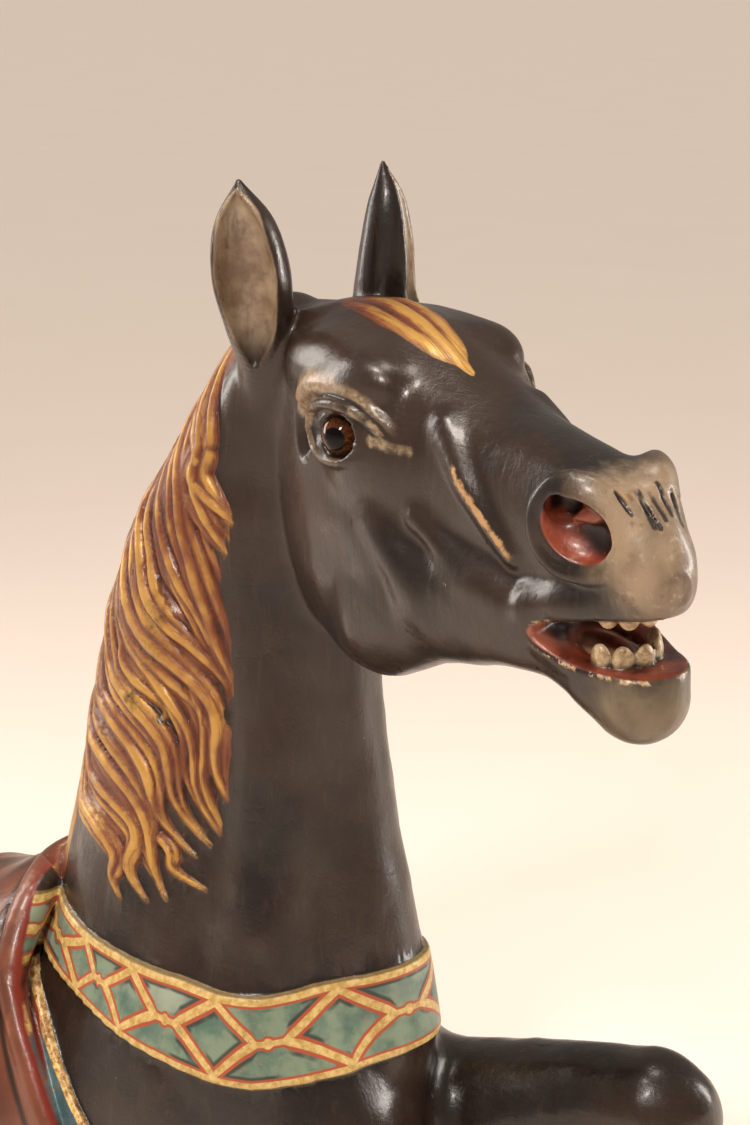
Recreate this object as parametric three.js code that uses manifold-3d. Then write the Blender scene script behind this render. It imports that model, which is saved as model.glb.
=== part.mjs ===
// Bust of a carved carousel horse: head, neck with its mane, breast with the painted
// band, front of the saddle and the raised left foreleg, sawn off flat below and behind.
// Millimetres, +Z up. +X is the way the body faces, the horse's right side is -Y.
// The wood is one carved solid. It is described as a field (distance to the surface)
// into which muscles, bones and locks are blended one after another, and the surface of
// the field is then taken off as a closed faceted skin. Two glass eyes sit in sockets.
import * as THREE from 'three';
import Module from 'manifold-3d';
import { mergeVertices } from 'three/addons/utils/BufferGeometryUtils.js';

// ---------------------------------------------------------------- driving dimensions
const BASE_Z = 0;                 // plane of the sawn underside
const REAR_X = -390;              // plane of the sawn back
const CELL = 4.6;                 // spacing of the sampling grid
const TRIANGLES = 8900;           // facets left on the wood
const GRID_LOW = [-410, -215, -14], GRID_HIGH = [280, 165, 775];

// head frame: origin midway between the eyes, x to the muzzle, y to the left, z to the brow
const HEAD_AT = [45.05, -63.59, 609.0];
const HEAD_YAW = -27.1, HEAD_PITCH = 1.7, HEAD_ROLL = 6.4;   // turned to the horse's right
// neck and breast, oval sections: height, centre x, centre y, half depth, half width
const NECK = [[0, -150, 0, 160, 112], [60, -150, 0, 158, 114], [120, -150, 0, 153, 108], [180, -148, 0, 146, 97],
  [235, -147, 0, 136, 84], [300, -145, 0, 122, 72], [370, -142, -2, 111, 64], [440, -134, -5, 101, 58],
  [510, -117, -10, 87, 52], [570, -93, -16, 69, 47], [620, -72, -22, 53, 43], [648, -60, -26, 42, 38], [662, -52, -27, 32, 30]];
// skull, oval sections in the head frame: x, centre y, centre z, half width, half height
const SKULL = [[-122, 0, -10, 26, 32], [-105, 0, -8, 44, 55], [-80, 0, -6, 52, 65], [-40, 0, -8, 56, 69], [0, 0, -10, 57, 68],
  [30, 0, -14, 53, 62], [60, 0, -20, 48, 56], [100, 0, -28, 41, 50], [140, 0, -32, 36, 48], [175, 0, -34, 33, 46],
  [200, 0, -35, 30, 42], [220, 0, -38, 26, 36], [234, 0, -43, 21, 28], [243, 0, -48, 15, 19], [248, 0, -52, 8, 9]];
// eyes, in the head frame (left one; the right one is its mirror image)
const EYE_AT = [-5.5, 53.7, -3.5], EYE_RADIUS = 16, EYE_GAP = 0.3;
// ears, centre lines in the head frame with their radii; cupped side turned out by EAR_TURN
const EAR_LEFT = [[-121, 43, -6], [-116, 43, 20], [-111, 45, 48], [-107, 47, 80], [-106, 48, 110], [-108, 47, 134]];
const EAR_RIGHT = [[-119, -48, -8], [-112, -50, 18], [-107, -53, 48], [-103, -57, 82], [-103, -59, 114], [-106, -58, 139]];
const EAR_LEFT_R = [15, 21, 22, 19, 13, 2], EAR_RIGHT_R = [9, 15.5, 22, 25.5, 19, 2];
const EAR_TURN = [0.66, 0.745, 0.1];
// eyelids, brow and nostril rims of the left side, lines in the head frame
const LID_UPPER = [[57, 45, -4], [44, 50, 1], [31, 57, 11], [16, 63, 17.5], [-4, 65.5, 18], [-20, 64.5, 13.5], [-33, 62, 5.5], [-40, 60, -5]];
const LID_LOWER = [[57, 45, -4], [44, 50, -5.5], [30, 57, -9.5], [17, 63, -14], [3, 67, -17], [-13, 67, -18], [-30, 63, -16], [-40, 60, -5]];
const BROW = [[48, 47, 3], [33, 54, 14], [15, 56, 23.5], [-8, 56, 26.5], [-31, 56, 24], [-46, 56, 15], [-56, 55, 2]];
const BROW_R = [1.2, 2.8, 5, 7, 7.4, 6.8, 4.5];
const NOSTRIL = [[194, 28, 6], [187, 33, 4], [181, 37, -2], [176, 40, -11], [176, 42, -22], [178, 41, -33], [184, 39, -41], [193, 36, -46], [206, 31, -47], [219, 26, -44], [228, 20, -40]];
// mane: height at root and tip, angle round the neck at root and tip (0 = crest, 90 = right
// side), sway and double sway of that angle, half width
const LOCKS = [[560, 509, 66, 107, -6, -5, 9], [571, 477, 61, 110, -3, -5, 9], [538, 354, 58, 128, 7, 2, 10],
  [512, 383, 58, 109, 12, -1, 8], [485, 386, 51, 108, 7, -7, 9], [436, 312, 62, 121, 13, 9, 11], [421, 378, 51, 81, 2, -5, 6],
  [408, 303, 75, 109, 3, 5, 8], [410, 304, 92, 111, -3, 3, 7], [397, 298, 48, 103, 11, 7, 9], [378, 289, 36, 98, 12, 8, 9],
  [353, 256, 28, 89, 20, 6, 9], [322, 251, 41, 82, 13, 8, 8], [296, 247, 36, 71, 14, 6, 8], [296, 268, 84, 103, -4, 3, 4]];
// trappings
const SADDLE = [[-420, 0, 40, 137, 158], [-380, 0, 40, 137, 160], [-350, 0, 40, 136, 166], [-325, 0, 40, 134, 178], [-306, 0, 40, 131, 184]];
// the saddle's rolled front edge from the top of the arch down one side: x, half width, height
const ROLL = [[-294, 0, 233], [-293, 22, 231], [-290, 42, 224], [-286, 62, 211], [-283, 79, 193], [-278, 93, 172],
  [-264, 104, 148], [-247, 113, 124], [-226, 122, 93], [-206, 126, 62], [-186, 127, 30], [-166, 126, -2], [-150, 125, -28]];
const ROLL_R = [15, 15, 14.5, 14, 12.5, 11, 10, 9.5, 9.5, 9.5, 9.5, 9.5, 9.5];
const BLANKET_THICK = 4.5, FLAP_THICK = 10, BAND_THICK = 3.5;

// ---------------------------------------------------------------- frames
const rad = Math.PI / 180;
const EYE3 = [[1, 0, 0], [0, 1, 0], [0, 0, 1]];
function turn(yaw, pitch, roll) {
  const m = new THREE.Matrix4().makeRotationZ(yaw * rad)
    .multiply(new THREE.Matrix4().makeRotationY(pitch * rad)).multiply(new THREE.Matrix4().makeRotationX(roll * rad));
  const e = m.elements;
  return [[e[0], e[4], e[8]], [e[1], e[5], e[9]], [e[2], e[6], e[10]]];
}
const times = (A, v) => A.map(r => r[0] * v[0] + r[1] * v[1] + r[2] * v[2]);
const matmul = (A, B) => A.map(r => [0, 1, 2].map(j => r[0] * B[0][j] + r[1] * B[1][j] + r[2] * B[2][j]));
const WORLD = { R: EYE3, t: [0, 0, 0] };
const HEAD = { R: turn(HEAD_YAW, HEAD_PITCH, HEAD_ROLL), t: HEAD_AT };
const place = (sp, p) => { const w = times(sp.R, p); return [w[0] + sp.t[0], w[1] + sp.t[1], w[2] + sp.t[2]]; };
const mirror = v => [v[0], -v[1], v[2]];

// ---------------------------------------------------------------- the field
const N = [0, 1, 2].map(i => Math.ceil((GRID_HIGH[i] - GRID_LOW[i]) / CELL) + 1);
const F = new Float32Array(N[0] * N[1] * N[2]).fill(60);
const at = (i, j, k) => (i * N[1] + j) * N[2] + k;
const smin = (a, b, k) => { if (k <= 0) return Math.min(a, b); const h = Math.max(k - Math.abs(a - b), 0); return Math.min(a, b) - h * h * 0.25 / k; };
const smax = (a, b, k) => -smin(-a, -b, k);
// blend the distance d(x, y, z) into the field inside a box given in world millimetres
function stamp(lo, hi, dist, k, mode) {
  const a = [], b = [];
  for (let i = 0; i < 3; i++) {
    a[i] = Math.max(Math.floor((lo[i] - GRID_LOW[i]) / CELL), 0);
    b[i] = Math.min(Math.ceil((hi[i] - GRID_LOW[i]) / CELL) + 1, N[i]);
  }
  for (let i = a[0]; i < b[0]; i++) for (let j = a[1]; j < b[1]; j++) for (let l = a[2]; l < b[2]; l++) {
    const n = at(i, j, l);
    const d = dist(GRID_LOW[0] + i * CELL, GRID_LOW[1] + j * CELL, GRID_LOW[2] + l * CELL, F[n]);
    F[n] = mode === 'cut' ? smax(F[n], -d, k) : smin(F[n], d, k);
  }
}
const MARGIN = 14;
// an ellipsoid with half sizes r, turned by [yaw, pitch, roll]
function ball(sp, c, r, k, rt = null, mode = 'add') {
  const L = rt ? matmul(sp.R, turn(...rt)) : sp.R, w = place(sp, c);
  const ext = L.map(row => Math.sqrt(row.reduce((s, v, j) => s + v * v * r[j] * r[j], 0)) + k + MARGIN);
  stamp(w.map((v, i) => v - ext[i]), w.map((v, i) => v + ext[i]), (X, Y, Z) => {
    const p = [X - w[0], Y - w[1], Z - w[2]];
    let s0 = 0, s1 = 0;
    for (let j = 0; j < 3; j++) {
      const q = (p[0] * L[0][j] + p[1] * L[1][j] + p[2] * L[2][j]) / r[j];
      s0 += q * q; s1 += q * q / (r[j] * r[j]);
    }
    const k0 = Math.sqrt(s0), k1 = Math.sqrt(s1) + 1e-6;
    return k0 * (k0 - 1) / k1;
  }, k, mode);
}
const ramp = (list, t) => { const s = t * (list.length - 1), i = Math.min(Math.floor(s), list.length - 2); return list[i] + (list[i + 1] - list[i]) * (s - i); };
function along(points, n) {           // n places on a smooth line through the points
  const P = points, m = P.length, out = [];
  const get = i => i < 0 ? P[0].map((v, j) => 2 * v - P[1][j]) : i >= m ? P[m - 1].map((v, j) => 2 * v - P[m - 2][j]) : P[i];
  for (let q = 0; q < n; q++) {
    const s = (m - 1) * q / (n - 1), i = Math.min(Math.floor(s), m - 2), t = s - i;
    const [a, b, c, d] = [get(i - 1), get(i), get(i + 1), get(i + 2)];
    out.push(b.map((_, j) => 0.5 * (2 * b[j] + (c[j] - a[j]) * t + (2 * a[j] - 5 * b[j] + 4 * c[j] - d[j]) * t * t + (3 * b[j] - a[j] - 3 * c[j] + d[j]) * t ** 3)));
  }
  return out;
}
// a round limb along a line with changing radius; flat = [axis, factor] thins it across that axis
function tube(sp, points, radii, k, mode = 'add', n = 0, flat = null) {
  n = n || (points.length === 2 ? 2 : 4 * (points.length - 1) + 1);
  const P = along(points, n).map(p => place(sp, p)), r = P.map((_, i) => radii.length > 1 ? ramp(radii, i / (n - 1)) : radii[0]);
  const m = Math.max(...r) + k + MARGIN, ax = flat ? times(sp.R, flat[0]) : null, fk = flat ? 1 / flat[1] ** 2 - 1 : 0;
  const lo = [0, 1, 2].map(i => Math.min(...P.map(p => p[i])) - m), hi = [0, 1, 2].map(i => Math.max(...P.map(p => p[i])) + m);
  stamp(lo, hi, (X, Y, Z) => {
    let best = 1e30, rb = 0;
    for (let i = 0; i < n - 1; i++) {
      const a = P[i], b = P[i + 1], ux = b[0] - a[0], uy = b[1] - a[1], uz = b[2] - a[2];
      let px = X - a[0], py = Y - a[1], pz = Z - a[2];
      const t = Math.min(Math.max((px * ux + py * uy + pz * uz) / Math.max(ux * ux + uy * uy + uz * uz, 1e-6), 0), 1);
      px -= t * ux; py -= t * uy; pz -= t * uz;
      let q = px * px + py * py + pz * pz;
      if (ax) { const u = px * ax[0] + py * ax[1] + pz * ax[2]; q += u * u * fk; }
      if (q < best) { best = q; rb = r[i] + t * (r[i + 1] - r[i]); }
    }
    return Math.sqrt(best) - rb;
  }, k, mode);
}
// a body lofted through oval sections across x (axis 0) or z (axis 2); e shapes the oval
function loft(sp, axis, rows, k, lo, hi, mode = 'add', e = 2) {
  const S = along(rows, 160).sort((a, b) => a[0] - b[0]);
  const q0 = Math.min(...rows.map(r => r[0])), q1 = Math.max(...rows.map(r => r[0]));
  const corners = [];
  for (const x of [lo[0], hi[0]]) for (const y of [lo[1], hi[1]]) for (const z of [lo[2], hi[2]]) corners.push(place(sp, [x, y, z]));
  const L = [0, 1, 2].map(i => Math.min(...corners.map(p => p[i])) - MARGIN), Hh = [0, 1, 2].map(i => Math.max(...corners.map(p => p[i])) + MARGIN);
  const R = sp.R, t0 = sp.t;
  stamp(L, Hh, (X, Y, Z) => {
    const p = [X - t0[0], Y - t0[1], Z - t0[2]];
    const l = [0, 1, 2].map(j => p[0] * R[0][j] + p[1] * R[1][j] + p[2] * R[2][j]);
    const [q, a, b] = axis === 0 ? l : [l[2], l[0], l[1]];
    const qc = Math.min(Math.max(q, q0), q1);
    let u = 0, v = S.length - 1;
    while (v - u > 1) { const m = (u + v) >> 1; if (S[m][0] <= qc) u = m; else v = m; }
    const t = S[v][0] > S[u][0] ? Math.min(Math.max((qc - S[u][0]) / (S[v][0] - S[u][0]), 0), 1) : 0, g = j => S[u][j] + (S[v][j] - S[u][j]) * t;
    const r1 = Math.max(g(3), 0.5), r2 = Math.max(g(4), 0.5), A = Math.abs(a - g(1)) / r1, B = Math.abs(b - g(2)) / r2;
    const k2 = Math.hypot(A, B), k0 = e === 2 ? k2 : (A ** e + B ** e) ** (1 / e);
    let d = k0 > 0.5 ? (k0 - 1) * k2 / (Math.hypot(A / r1, B / r2) + 1e-5) : (k0 - 1) * Math.min(r1, r2);
    const over = Math.max(q0 - q, q - q1);
    if (over > 0) d = Math.hypot(Math.max(d, 0), over);
    return d;
  }, k, mode);
}
const hball = (c, r, k, rt = null, mode = 'add') => ball(HEAD, c, r, k, rt, mode);
const hpair = (c, r, k, rt = null, mode = 'add') => { hball(c, r, k, rt, mode); hball(mirror(c), r, k, rt ? [-rt[0], rt[1], -rt[2]] : null, mode); };
const htube = (p, r, k, mode = 'add', flat = null, n = 0) => tube(HEAD, p, r, k, mode, n, flat);
const hptube = (p, r, k, mode = 'add', flat = null, n = 0) => { htube(p, r, k, mode, flat, n); htube(p.map(mirror), r, k, mode, flat ? [mirror(flat[0]), flat[1]] : null, n); };

// ---------------------------------------------------------------- neck surface, for mane and band
function neckAt(z) {
  let i = 0;
  while (i < NECK.length - 2 && z > NECK[i + 1][0]) i++;
  const t = (z - NECK[i][0]) / (NECK[i + 1][0] - NECK[i][0]);
  return [1, 2, 3, 4].map(j => NECK[i][j] * (1 - t) + NECK[i + 1][j] * t);
}
function onNeck(z, deg, up) {
  const [cx, cy, a, b] = neckAt(z);
  return [cx - (a + up) * Math.cos(deg * rad), cy - (b + up) * Math.sin(deg * rad), z];
}
function lockPath([z0, z1, a0, a1, sway, sway2], n) {
  const rise = Math.min(80, (a0 - 10) * 1.9), P = [];
  for (let i = 0; i < n; i++) {
    const t = i / (n - 1);
    let z, a;
    if (t < 0.3) { const q = t / 0.3; z = z0 + rise * (1 - q); a = 10 + (a0 - 10) * q ** 1.3; }     // root, out of the crest
    else { const s = (t - 0.3) / 0.7; z = z0 + (z1 - z0) * s; a = a0 * (1 - s) + a1 * s + sway * Math.sin(Math.PI * s) + sway2 * Math.sin(2 * Math.PI * s); }
    P.push(onNeck(z, a, -5));
  }
  return P;
}

// ---------------------------------------------------------------- carving
function carveBody() {
  loft(WORLD, 2, NECK, 20, [-330, -130, 0], [30, 130, 672]);
  ball(WORLD, [-110, -58, 80], [112, 60, 115], 40);
  ball(WORLD, [-128, 54, 70], [112, 58, 110], 40);
  ball(WORLD, [-38, -42, 70], [56, 48, 80], 30);
  ball(WORLD, [-60, 38, 70], [56, 46, 80], 30);
  ball(WORLD, [-330, 0, 40], [240, 126, 148], 40);
  // windpipe and the long muscles of the neck
  tube(WORLD, [[-58, -20, 520], [-58, -15, 440], [-57, -9, 370], [-50, -5, 300], [-36, -2, 230], [-24, 0, 160]], [22, 23, 25, 27, 30, 31], 26, 'add', 24);
  tube(WORLD, [[-96, -44, 520], [-90, -47, 440], [-82, -51, 370], [-78, -56, 300], [-80, -64, 230], [-84, -66, 150]], [12, 14, 16, 19, 25, 34], 30, 'add', 24);
  tube(WORLD, [[-96, 26, 520], [-90, 36, 440], [-82, 46, 370], [-78, 54, 300], [-80, 62, 230], [-84, 62, 150]], [12, 14, 16, 19, 25, 34], 30, 'add', 24);
  // raised left foreleg: forearm, knee, cannon sawn off with the underside
  tube(WORLD, [[-60, 70, 54], [0, 72, 72], [55, 73, 91], [108, 72, 109], [146, 70, 118]], [58, 54, 47, 41, 37], 22, 'add', 24);
  ball(WORLD, [156, 70, 115], [36, 33, 40], 12);
  ball(WORLD, [171, 70, 119], [22, 24, 26], 10);
  tube(WORLD, [[158, 70, 106], [159, 70, 50], [150, 70, -40]], [33, 25, 24], 14);
}
// a layer of the given thickness over what is carved so far, where region(x, y, z) is negative
function layer(lo, hi, thick, region) {
  stamp(lo, hi, (x, y, z, f) => smax(f - thick, region(x, y, z), 1.5), 0.5, 'add');
}
function carveTrappings() {
  // blanket: its front edge sweeps forward as it comes down
  layer([-400, -160, -14], [-60, 160, 260], BLANKET_THICK, (x, y, z) => 0.70 * (x - (-288 + 1.03 * Math.max(187 - z, 0) + 0.02 * Math.min(187 - z, 0))));
  // breast band round the foot of the neck, up to the withers
  layer([-330, -160, 120], [60, 160, 262], BAND_THICK, (x, y, z) => {
    const back = Math.max(-60 - x, 0);
    return Math.abs(z - (178.5 + 0.00058 * back * back + 0.15 * Math.max(x + 60, 0))) - (30 - 0.045 * back);
  });
  // saddle, its flaps behind the blanket's edge, and the roll along their front
  loft(WORLD, 0, SADDLE, 3, [-420, -150, -20], [-306, 150, 240]);
  layer([-400, -170, -14], [-100, 170, 235], FLAP_THICK, (x, y, z) => 0.80 * (x - flapFront(z)));
  const roll = [...ROLL].reverse().map(r => [r[0], -r[1], r[2]]).concat(ROLL.slice(1));
  tube(WORLD, roll, [...ROLL_R].reverse().concat(ROLL_R.slice(1)), 4, 'add', 61);
}
// x of the saddle's front edge at a height
function flapFront(z) {
  if (z >= ROLL[0][2]) return ROLL[0][0];
  let i = 0;
  while (i < ROLL.length - 2 && z < ROLL[i + 1][2]) i++;
  const t = Math.min((ROLL[i][2] - z) / (ROLL[i][2] - ROLL[i + 1][2]), 1);
  return ROLL[i][0] + t * (ROLL[i + 1][0] - ROLL[i][0]);
}
function carveHead() {
  loft(HEAD, 0, SKULL, 14, [-122, -60, -90], [248, 60, 70], 'add', 2.4);
  // brow and orbit
  hpair([4, 42, 30], [34, 19, 19], 14);
  hpair([-38, 40, 30], [40, 17, 20], 14, [-6, 0, 0]);
  hpair([20, 44, -18], [40, 19, 30], 18, [-14, 0, 0]);
  // round jowl and the chewing muscle in front of it
  hpair([-32, 36, -72], [95, 28, 94], 8, [2, 0, 0]);
  hpair([26, 44, -76], [34, 16, 44], 10, [-14, 0, 0]);
  hptube([[26, 53, -50], [46, 52, -74], [57, 46, -96]], [8, 8, 5], 14, 'add', null, 20);
  // jaw bars, cheek, chin and lower lip
  hptube([[0, 28, -122], [40, 26, -112], [80, 24, -106], [120, 21, -101], [156, 16, -104], [182, 10, -112]], [38, 32, 28, 25, 20, 22], 16, 'add', null, 30);
  hptube([[66, 34, -86], [110, 30, -80], [150, 29, -83]], [25, 20, 14], 16, 'add', null, 24);
  hball([205, 0, -121], [34, 27, 31], 12);
  hball([213, 0, -106], [24, 25, 16], 8);
  hptube([[164, 30, -97], [184, 27, -104], [206, 21, -105], [224, 9, -102]], [9, 7, 6, 6], 6, 'add', null, 16);
  // upper lip
  hptube([[156, 32, -76], [182, 28, -70], [206, 21, -66], [226, 9, -62]], [9, 10, 9, 9], 13, 'add', null, 16);
  hball([222, 0, -46], [25, 22, 25], 10);
  // ridge down the cheek
  hptube([[76, 32, 12], [92, 37, -2], [105, 40, -14], [122, 38, -31], [140, 35.5, -50]], [6, 6, 6, 5, 3.5], 11, 'add', null, 20);
  // nostrils: rim, hollow and the fold that hangs into it
  hpair([198, 26, -18], [27, 13.5, 28], 12, [-30, 0, 0]);
  const rimR = [4, 5, 5, 5.2, 5.2, 5.2, 5.2, 5, 4.8, 4.2, 3];
  htube(NOSTRIL.map(mirror), rimR, 4, 'add', null, 30);
  htube(NOSTRIL.map((q, i) => [q[0], q[1], q[2] - Math.max(0, 5 * (1 - i / 4))]), rimR, 4, 'add', null, 30);
  hpair([203, 34, -21], [22, 12.5, 17], 4, [-32, 22, 0], 'cut');
  hpair([190, 30, -10], [10, 11, 11], 4, [-30, 0, 0], 'cut');
  hptube([[215, 8, -8], [210, 19, -10.5], [201, 28.8, -17]], [9, 7, 5], 4, 'add', null, 14);
  hpair([210, 29, -22], [14, 8, 4.5], 3, [-32, 22, 0], 'cut');
  // open mouth, teeth and tongue
  htube([[157, 0, -90], [167, 0, -90], [192, 0, -91], [230, 0, -88], [300, 0, -86]], [4, 8, 12.5, 16, 19], 4, 'cut', [[0, 1, 0], 6], 16);
  hball([188, 0, -92], [34, 19, 17], 6, null, 'cut');
  for (let i = -2; i <= 2; i++) {
    const a = 38 * i, b = 34 * i;
    hball([194 + 20 * Math.cos(a * rad), 18.5 * Math.sin(a * rad), -101.5], [4.6, 7.2, 11], 1, [a, 8, 0]);
    hball([199 + 21 * Math.cos(b * rad), 19 * Math.sin(b * rad), -71.5], [5, 7, 9], 1, [b, -8, 0]);
  }
  hball([178, 0, -106], [30, 14, 9], 4);
  // eyelids round the glass eyes, the brow over them and the hollow behind
  hpair([EYE_AT[0] + 3, EYE_AT[1] - 2, EYE_AT[2] + 2], [25, 19, 21], 8);
  hpair([-22, 50, -2], [24, 12, 17], 8, [8, 0, 0]);
  htube(BROW.map(mirror), BROW_R, 5, 'add', null, 30);
  htube(BROW.map(q => [q[0], q[1] - 3, q[2] - 1]), BROW_R, 5, 'add', null, 30);
  hptube(LID_UPPER, [1.4, 2.4, 3.1, 3.5, 3.7, 3.5, 3.1, 2.4], 2.2, 'add', null, 30);
  hptube(LID_LOWER, [1.4, 2.0, 2.6, 3.0, 3.2, 3.0, 2.7, 2.4], 3, 'add', null, 30);
  hpair([-52, 58, -9], [9, 8, 17], 6, [-8, 0, 0], 'cut');
  hpair([4, 65.5, -1.5], [18.5, 9.5, 14], 1.5, [-30, 0, 0], 'cut');
  hpair([-24, 66, -3], [13, 6.5, 10.5], 2, [8, 0, 0], 'cut');
  // ears, hollowed from the front
  for (const [side, line, radii] of [[1, EAR_LEFT, EAR_LEFT_R], [-1, EAR_RIGHT, EAR_RIGHT_R]]) {
    const n = [EAR_TURN[0], EAR_TURN[1] * side, EAR_TURN[2]];
    const more = side > 0 ? 4.5 : 0;                  // the left ear is the deeper one
    htube(line, radii, 7, 'add', [n, side > 0 ? 1.05 : 0.85], 24);
    const inner = [[1, 15 + more, 8], [2, 13.5 + more, 0], [3, 13 + more, 0], [4, 9.5 + more / 2, 0], [5, 4, -6]].map(([i, w, dz]) => [line[i][0] + n[0] * w, line[i][1] + n[1] * w, line[i][2] + dz]);
    htube(inner, [3, radii[2] - 8, radii[3] - 6, radii[4] - 5, 1], 3, 'cut', [n, 0.8], 24);
  }
  // forelock, a leaf of hair on the forehead
  htube([[-84, 0, 54], [-45, 0, 60], [-8, -2, 57.5], [30, -3, 46], [62, -3, 32.5]], [5, 15, 17.5, 11.5, 1.5], 2, 'add', [[0.2, 0, 0.98], 0.5], 25);
}
function carveMane() {
  const crest = [[650, 10], [600, 10], [540, 9], [480, 8], [420, 8], [360, 8], [300, 8], [240, 8], [200, 8]].map(([z, a]) => onNeck(z, a, -24));
  tube(WORLD, crest, [20, 22, 24, 26, 27, 28, 29, 29, 26], 10, 'add', 30);
  for (const L of LOCKS) {
    const n = 22, radii = [];
    for (let i = 0; i < n; i++) {
      const t = i / (n - 1);
      radii.push(1.45 * L[6] * (0.75 + 0.25 * Math.sin(Math.PI * t)) * (1 - 0.75 * Math.max(0, (t - 0.72) / 0.28) ** 1.5));
    }
    tube(WORLD, lockPath(L, n), radii, 2, 'add', n);
  }
}

// ---------------------------------------------------------------- skin of the field
// each cell is split into six tetrahedra along its long diagonal, which always closes
function skin() {
  for (let i = 0; i < N[0]; i++) for (let j = 0; j < N[1]; j++) for (let l = 0; l < N[2]; l++)
    if (i === 0 || j === 0 || l === 0 || i === N[0] - 1 || j === N[1] - 1 || l === N[2] - 1) F[at(i, j, l)] = Math.max(F[at(i, j, l)], 1);
  const ids = new Map(), P = [], T = [];
  const stepOf = c => [(c >> 2) & 1, (c >> 1) & 1, c & 1];
  const paths = [[4, 6], [4, 5], [2, 6], [2, 3], [1, 5], [1, 3]];
  const total = F.length;
  const crossing = (a, b) => {
    const key = Math.min(a, b) * total + Math.max(a, b);
    let id = ids.get(key);
    if (id === undefined) {
      const fa = F[a], fb = F[b], t = Math.min(Math.max(fa / (fa - fb), 0.02), 0.98);
      const pa = spot(a), pb = spot(b);
      id = P.length; P.push([0, 1, 2].map(i => pa[i] + (pb[i] - pa[i]) * t)); ids.set(key, id);
    }
    return id;
  };
  const spot = n => { const l = n % N[2], m = (n - l) / N[2], j = m % N[1], i = (m - j) / N[1]; return [GRID_LOW[0] + i * CELL, GRID_LOW[1] + j * CELL, GRID_LOW[2] + l * CELL]; };
  const push = (a, b, c, inside) => {            // wind the facet so that it faces away from the wood
    if (a === b || b === c || a === c) return;
    const A = P[a], B = P[b], C = P[c], s = spot(inside);
    const ux = B[0] - A[0], uy = B[1] - A[1], uz = B[2] - A[2], vx = C[0] - A[0], vy = C[1] - A[1], vz = C[2] - A[2];
    const side = (uy * vz - uz * vy) * (A[0] - s[0]) + (uz * vx - ux * vz) * (A[1] - s[1]) + (ux * vy - uy * vx) * (A[2] - s[2]);
    T.push(side > 0 ? [a, b, c] : [a, c, b]);
  };
  for (let i = 0; i < N[0] - 1; i++) for (let j = 0; j < N[1] - 1; j++) for (let l = 0; l < N[2] - 1; l++) {
    const v = [];
    let inside = 0;
    for (let c = 0; c < 8; c++) { const s = stepOf(c), n = at(i + s[0], j + s[1], l + s[2]); v.push(n); if (F[n] < 0) inside++; }
    if (inside === 0 || inside === 8) continue;
    for (const [m1, m2] of paths) {
      const t = [v[0], v[m1], v[m2], v[7]], ins = t.filter(n => F[n] < 0), out = t.filter(n => F[n] >= 0);
      if (ins.length === 1) push(...out.map(o => crossing(ins[0], o)), ins[0]);
      else if (ins.length === 3) push(...ins.map(n => crossing(n, out[0])), ins[0]);
      else if (ins.length === 2) {
        const a = crossing(ins[0], out[0]), b = crossing(ins[0], out[1]), c = crossing(ins[1], out[1]), d = crossing(ins[1], out[0]);
        push(a, b, c, ins[0]); push(a, c, d, ins[0]);
      }
    }
  }
  return { P, T };
}
// keep only the largest connected skin
function largest({ P, T }) {
  const up = P.map((_, i) => i), find = i => { while (up[i] !== i) { up[i] = up[up[i]]; i = up[i]; } return i; };
  for (const [a, b, c] of T) { up[find(b)] = find(a); up[find(c)] = find(a); }
  const count = new Map();
  for (const t of T) { const r = find(t[0]); count.set(r, (count.get(r) || 0) + 1); }
  const best = [...count.entries()].sort((a, b) => b[1] - a[1])[0][0];
  return { P, T: T.filter(t => find(t[0]) === best) };
}
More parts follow.
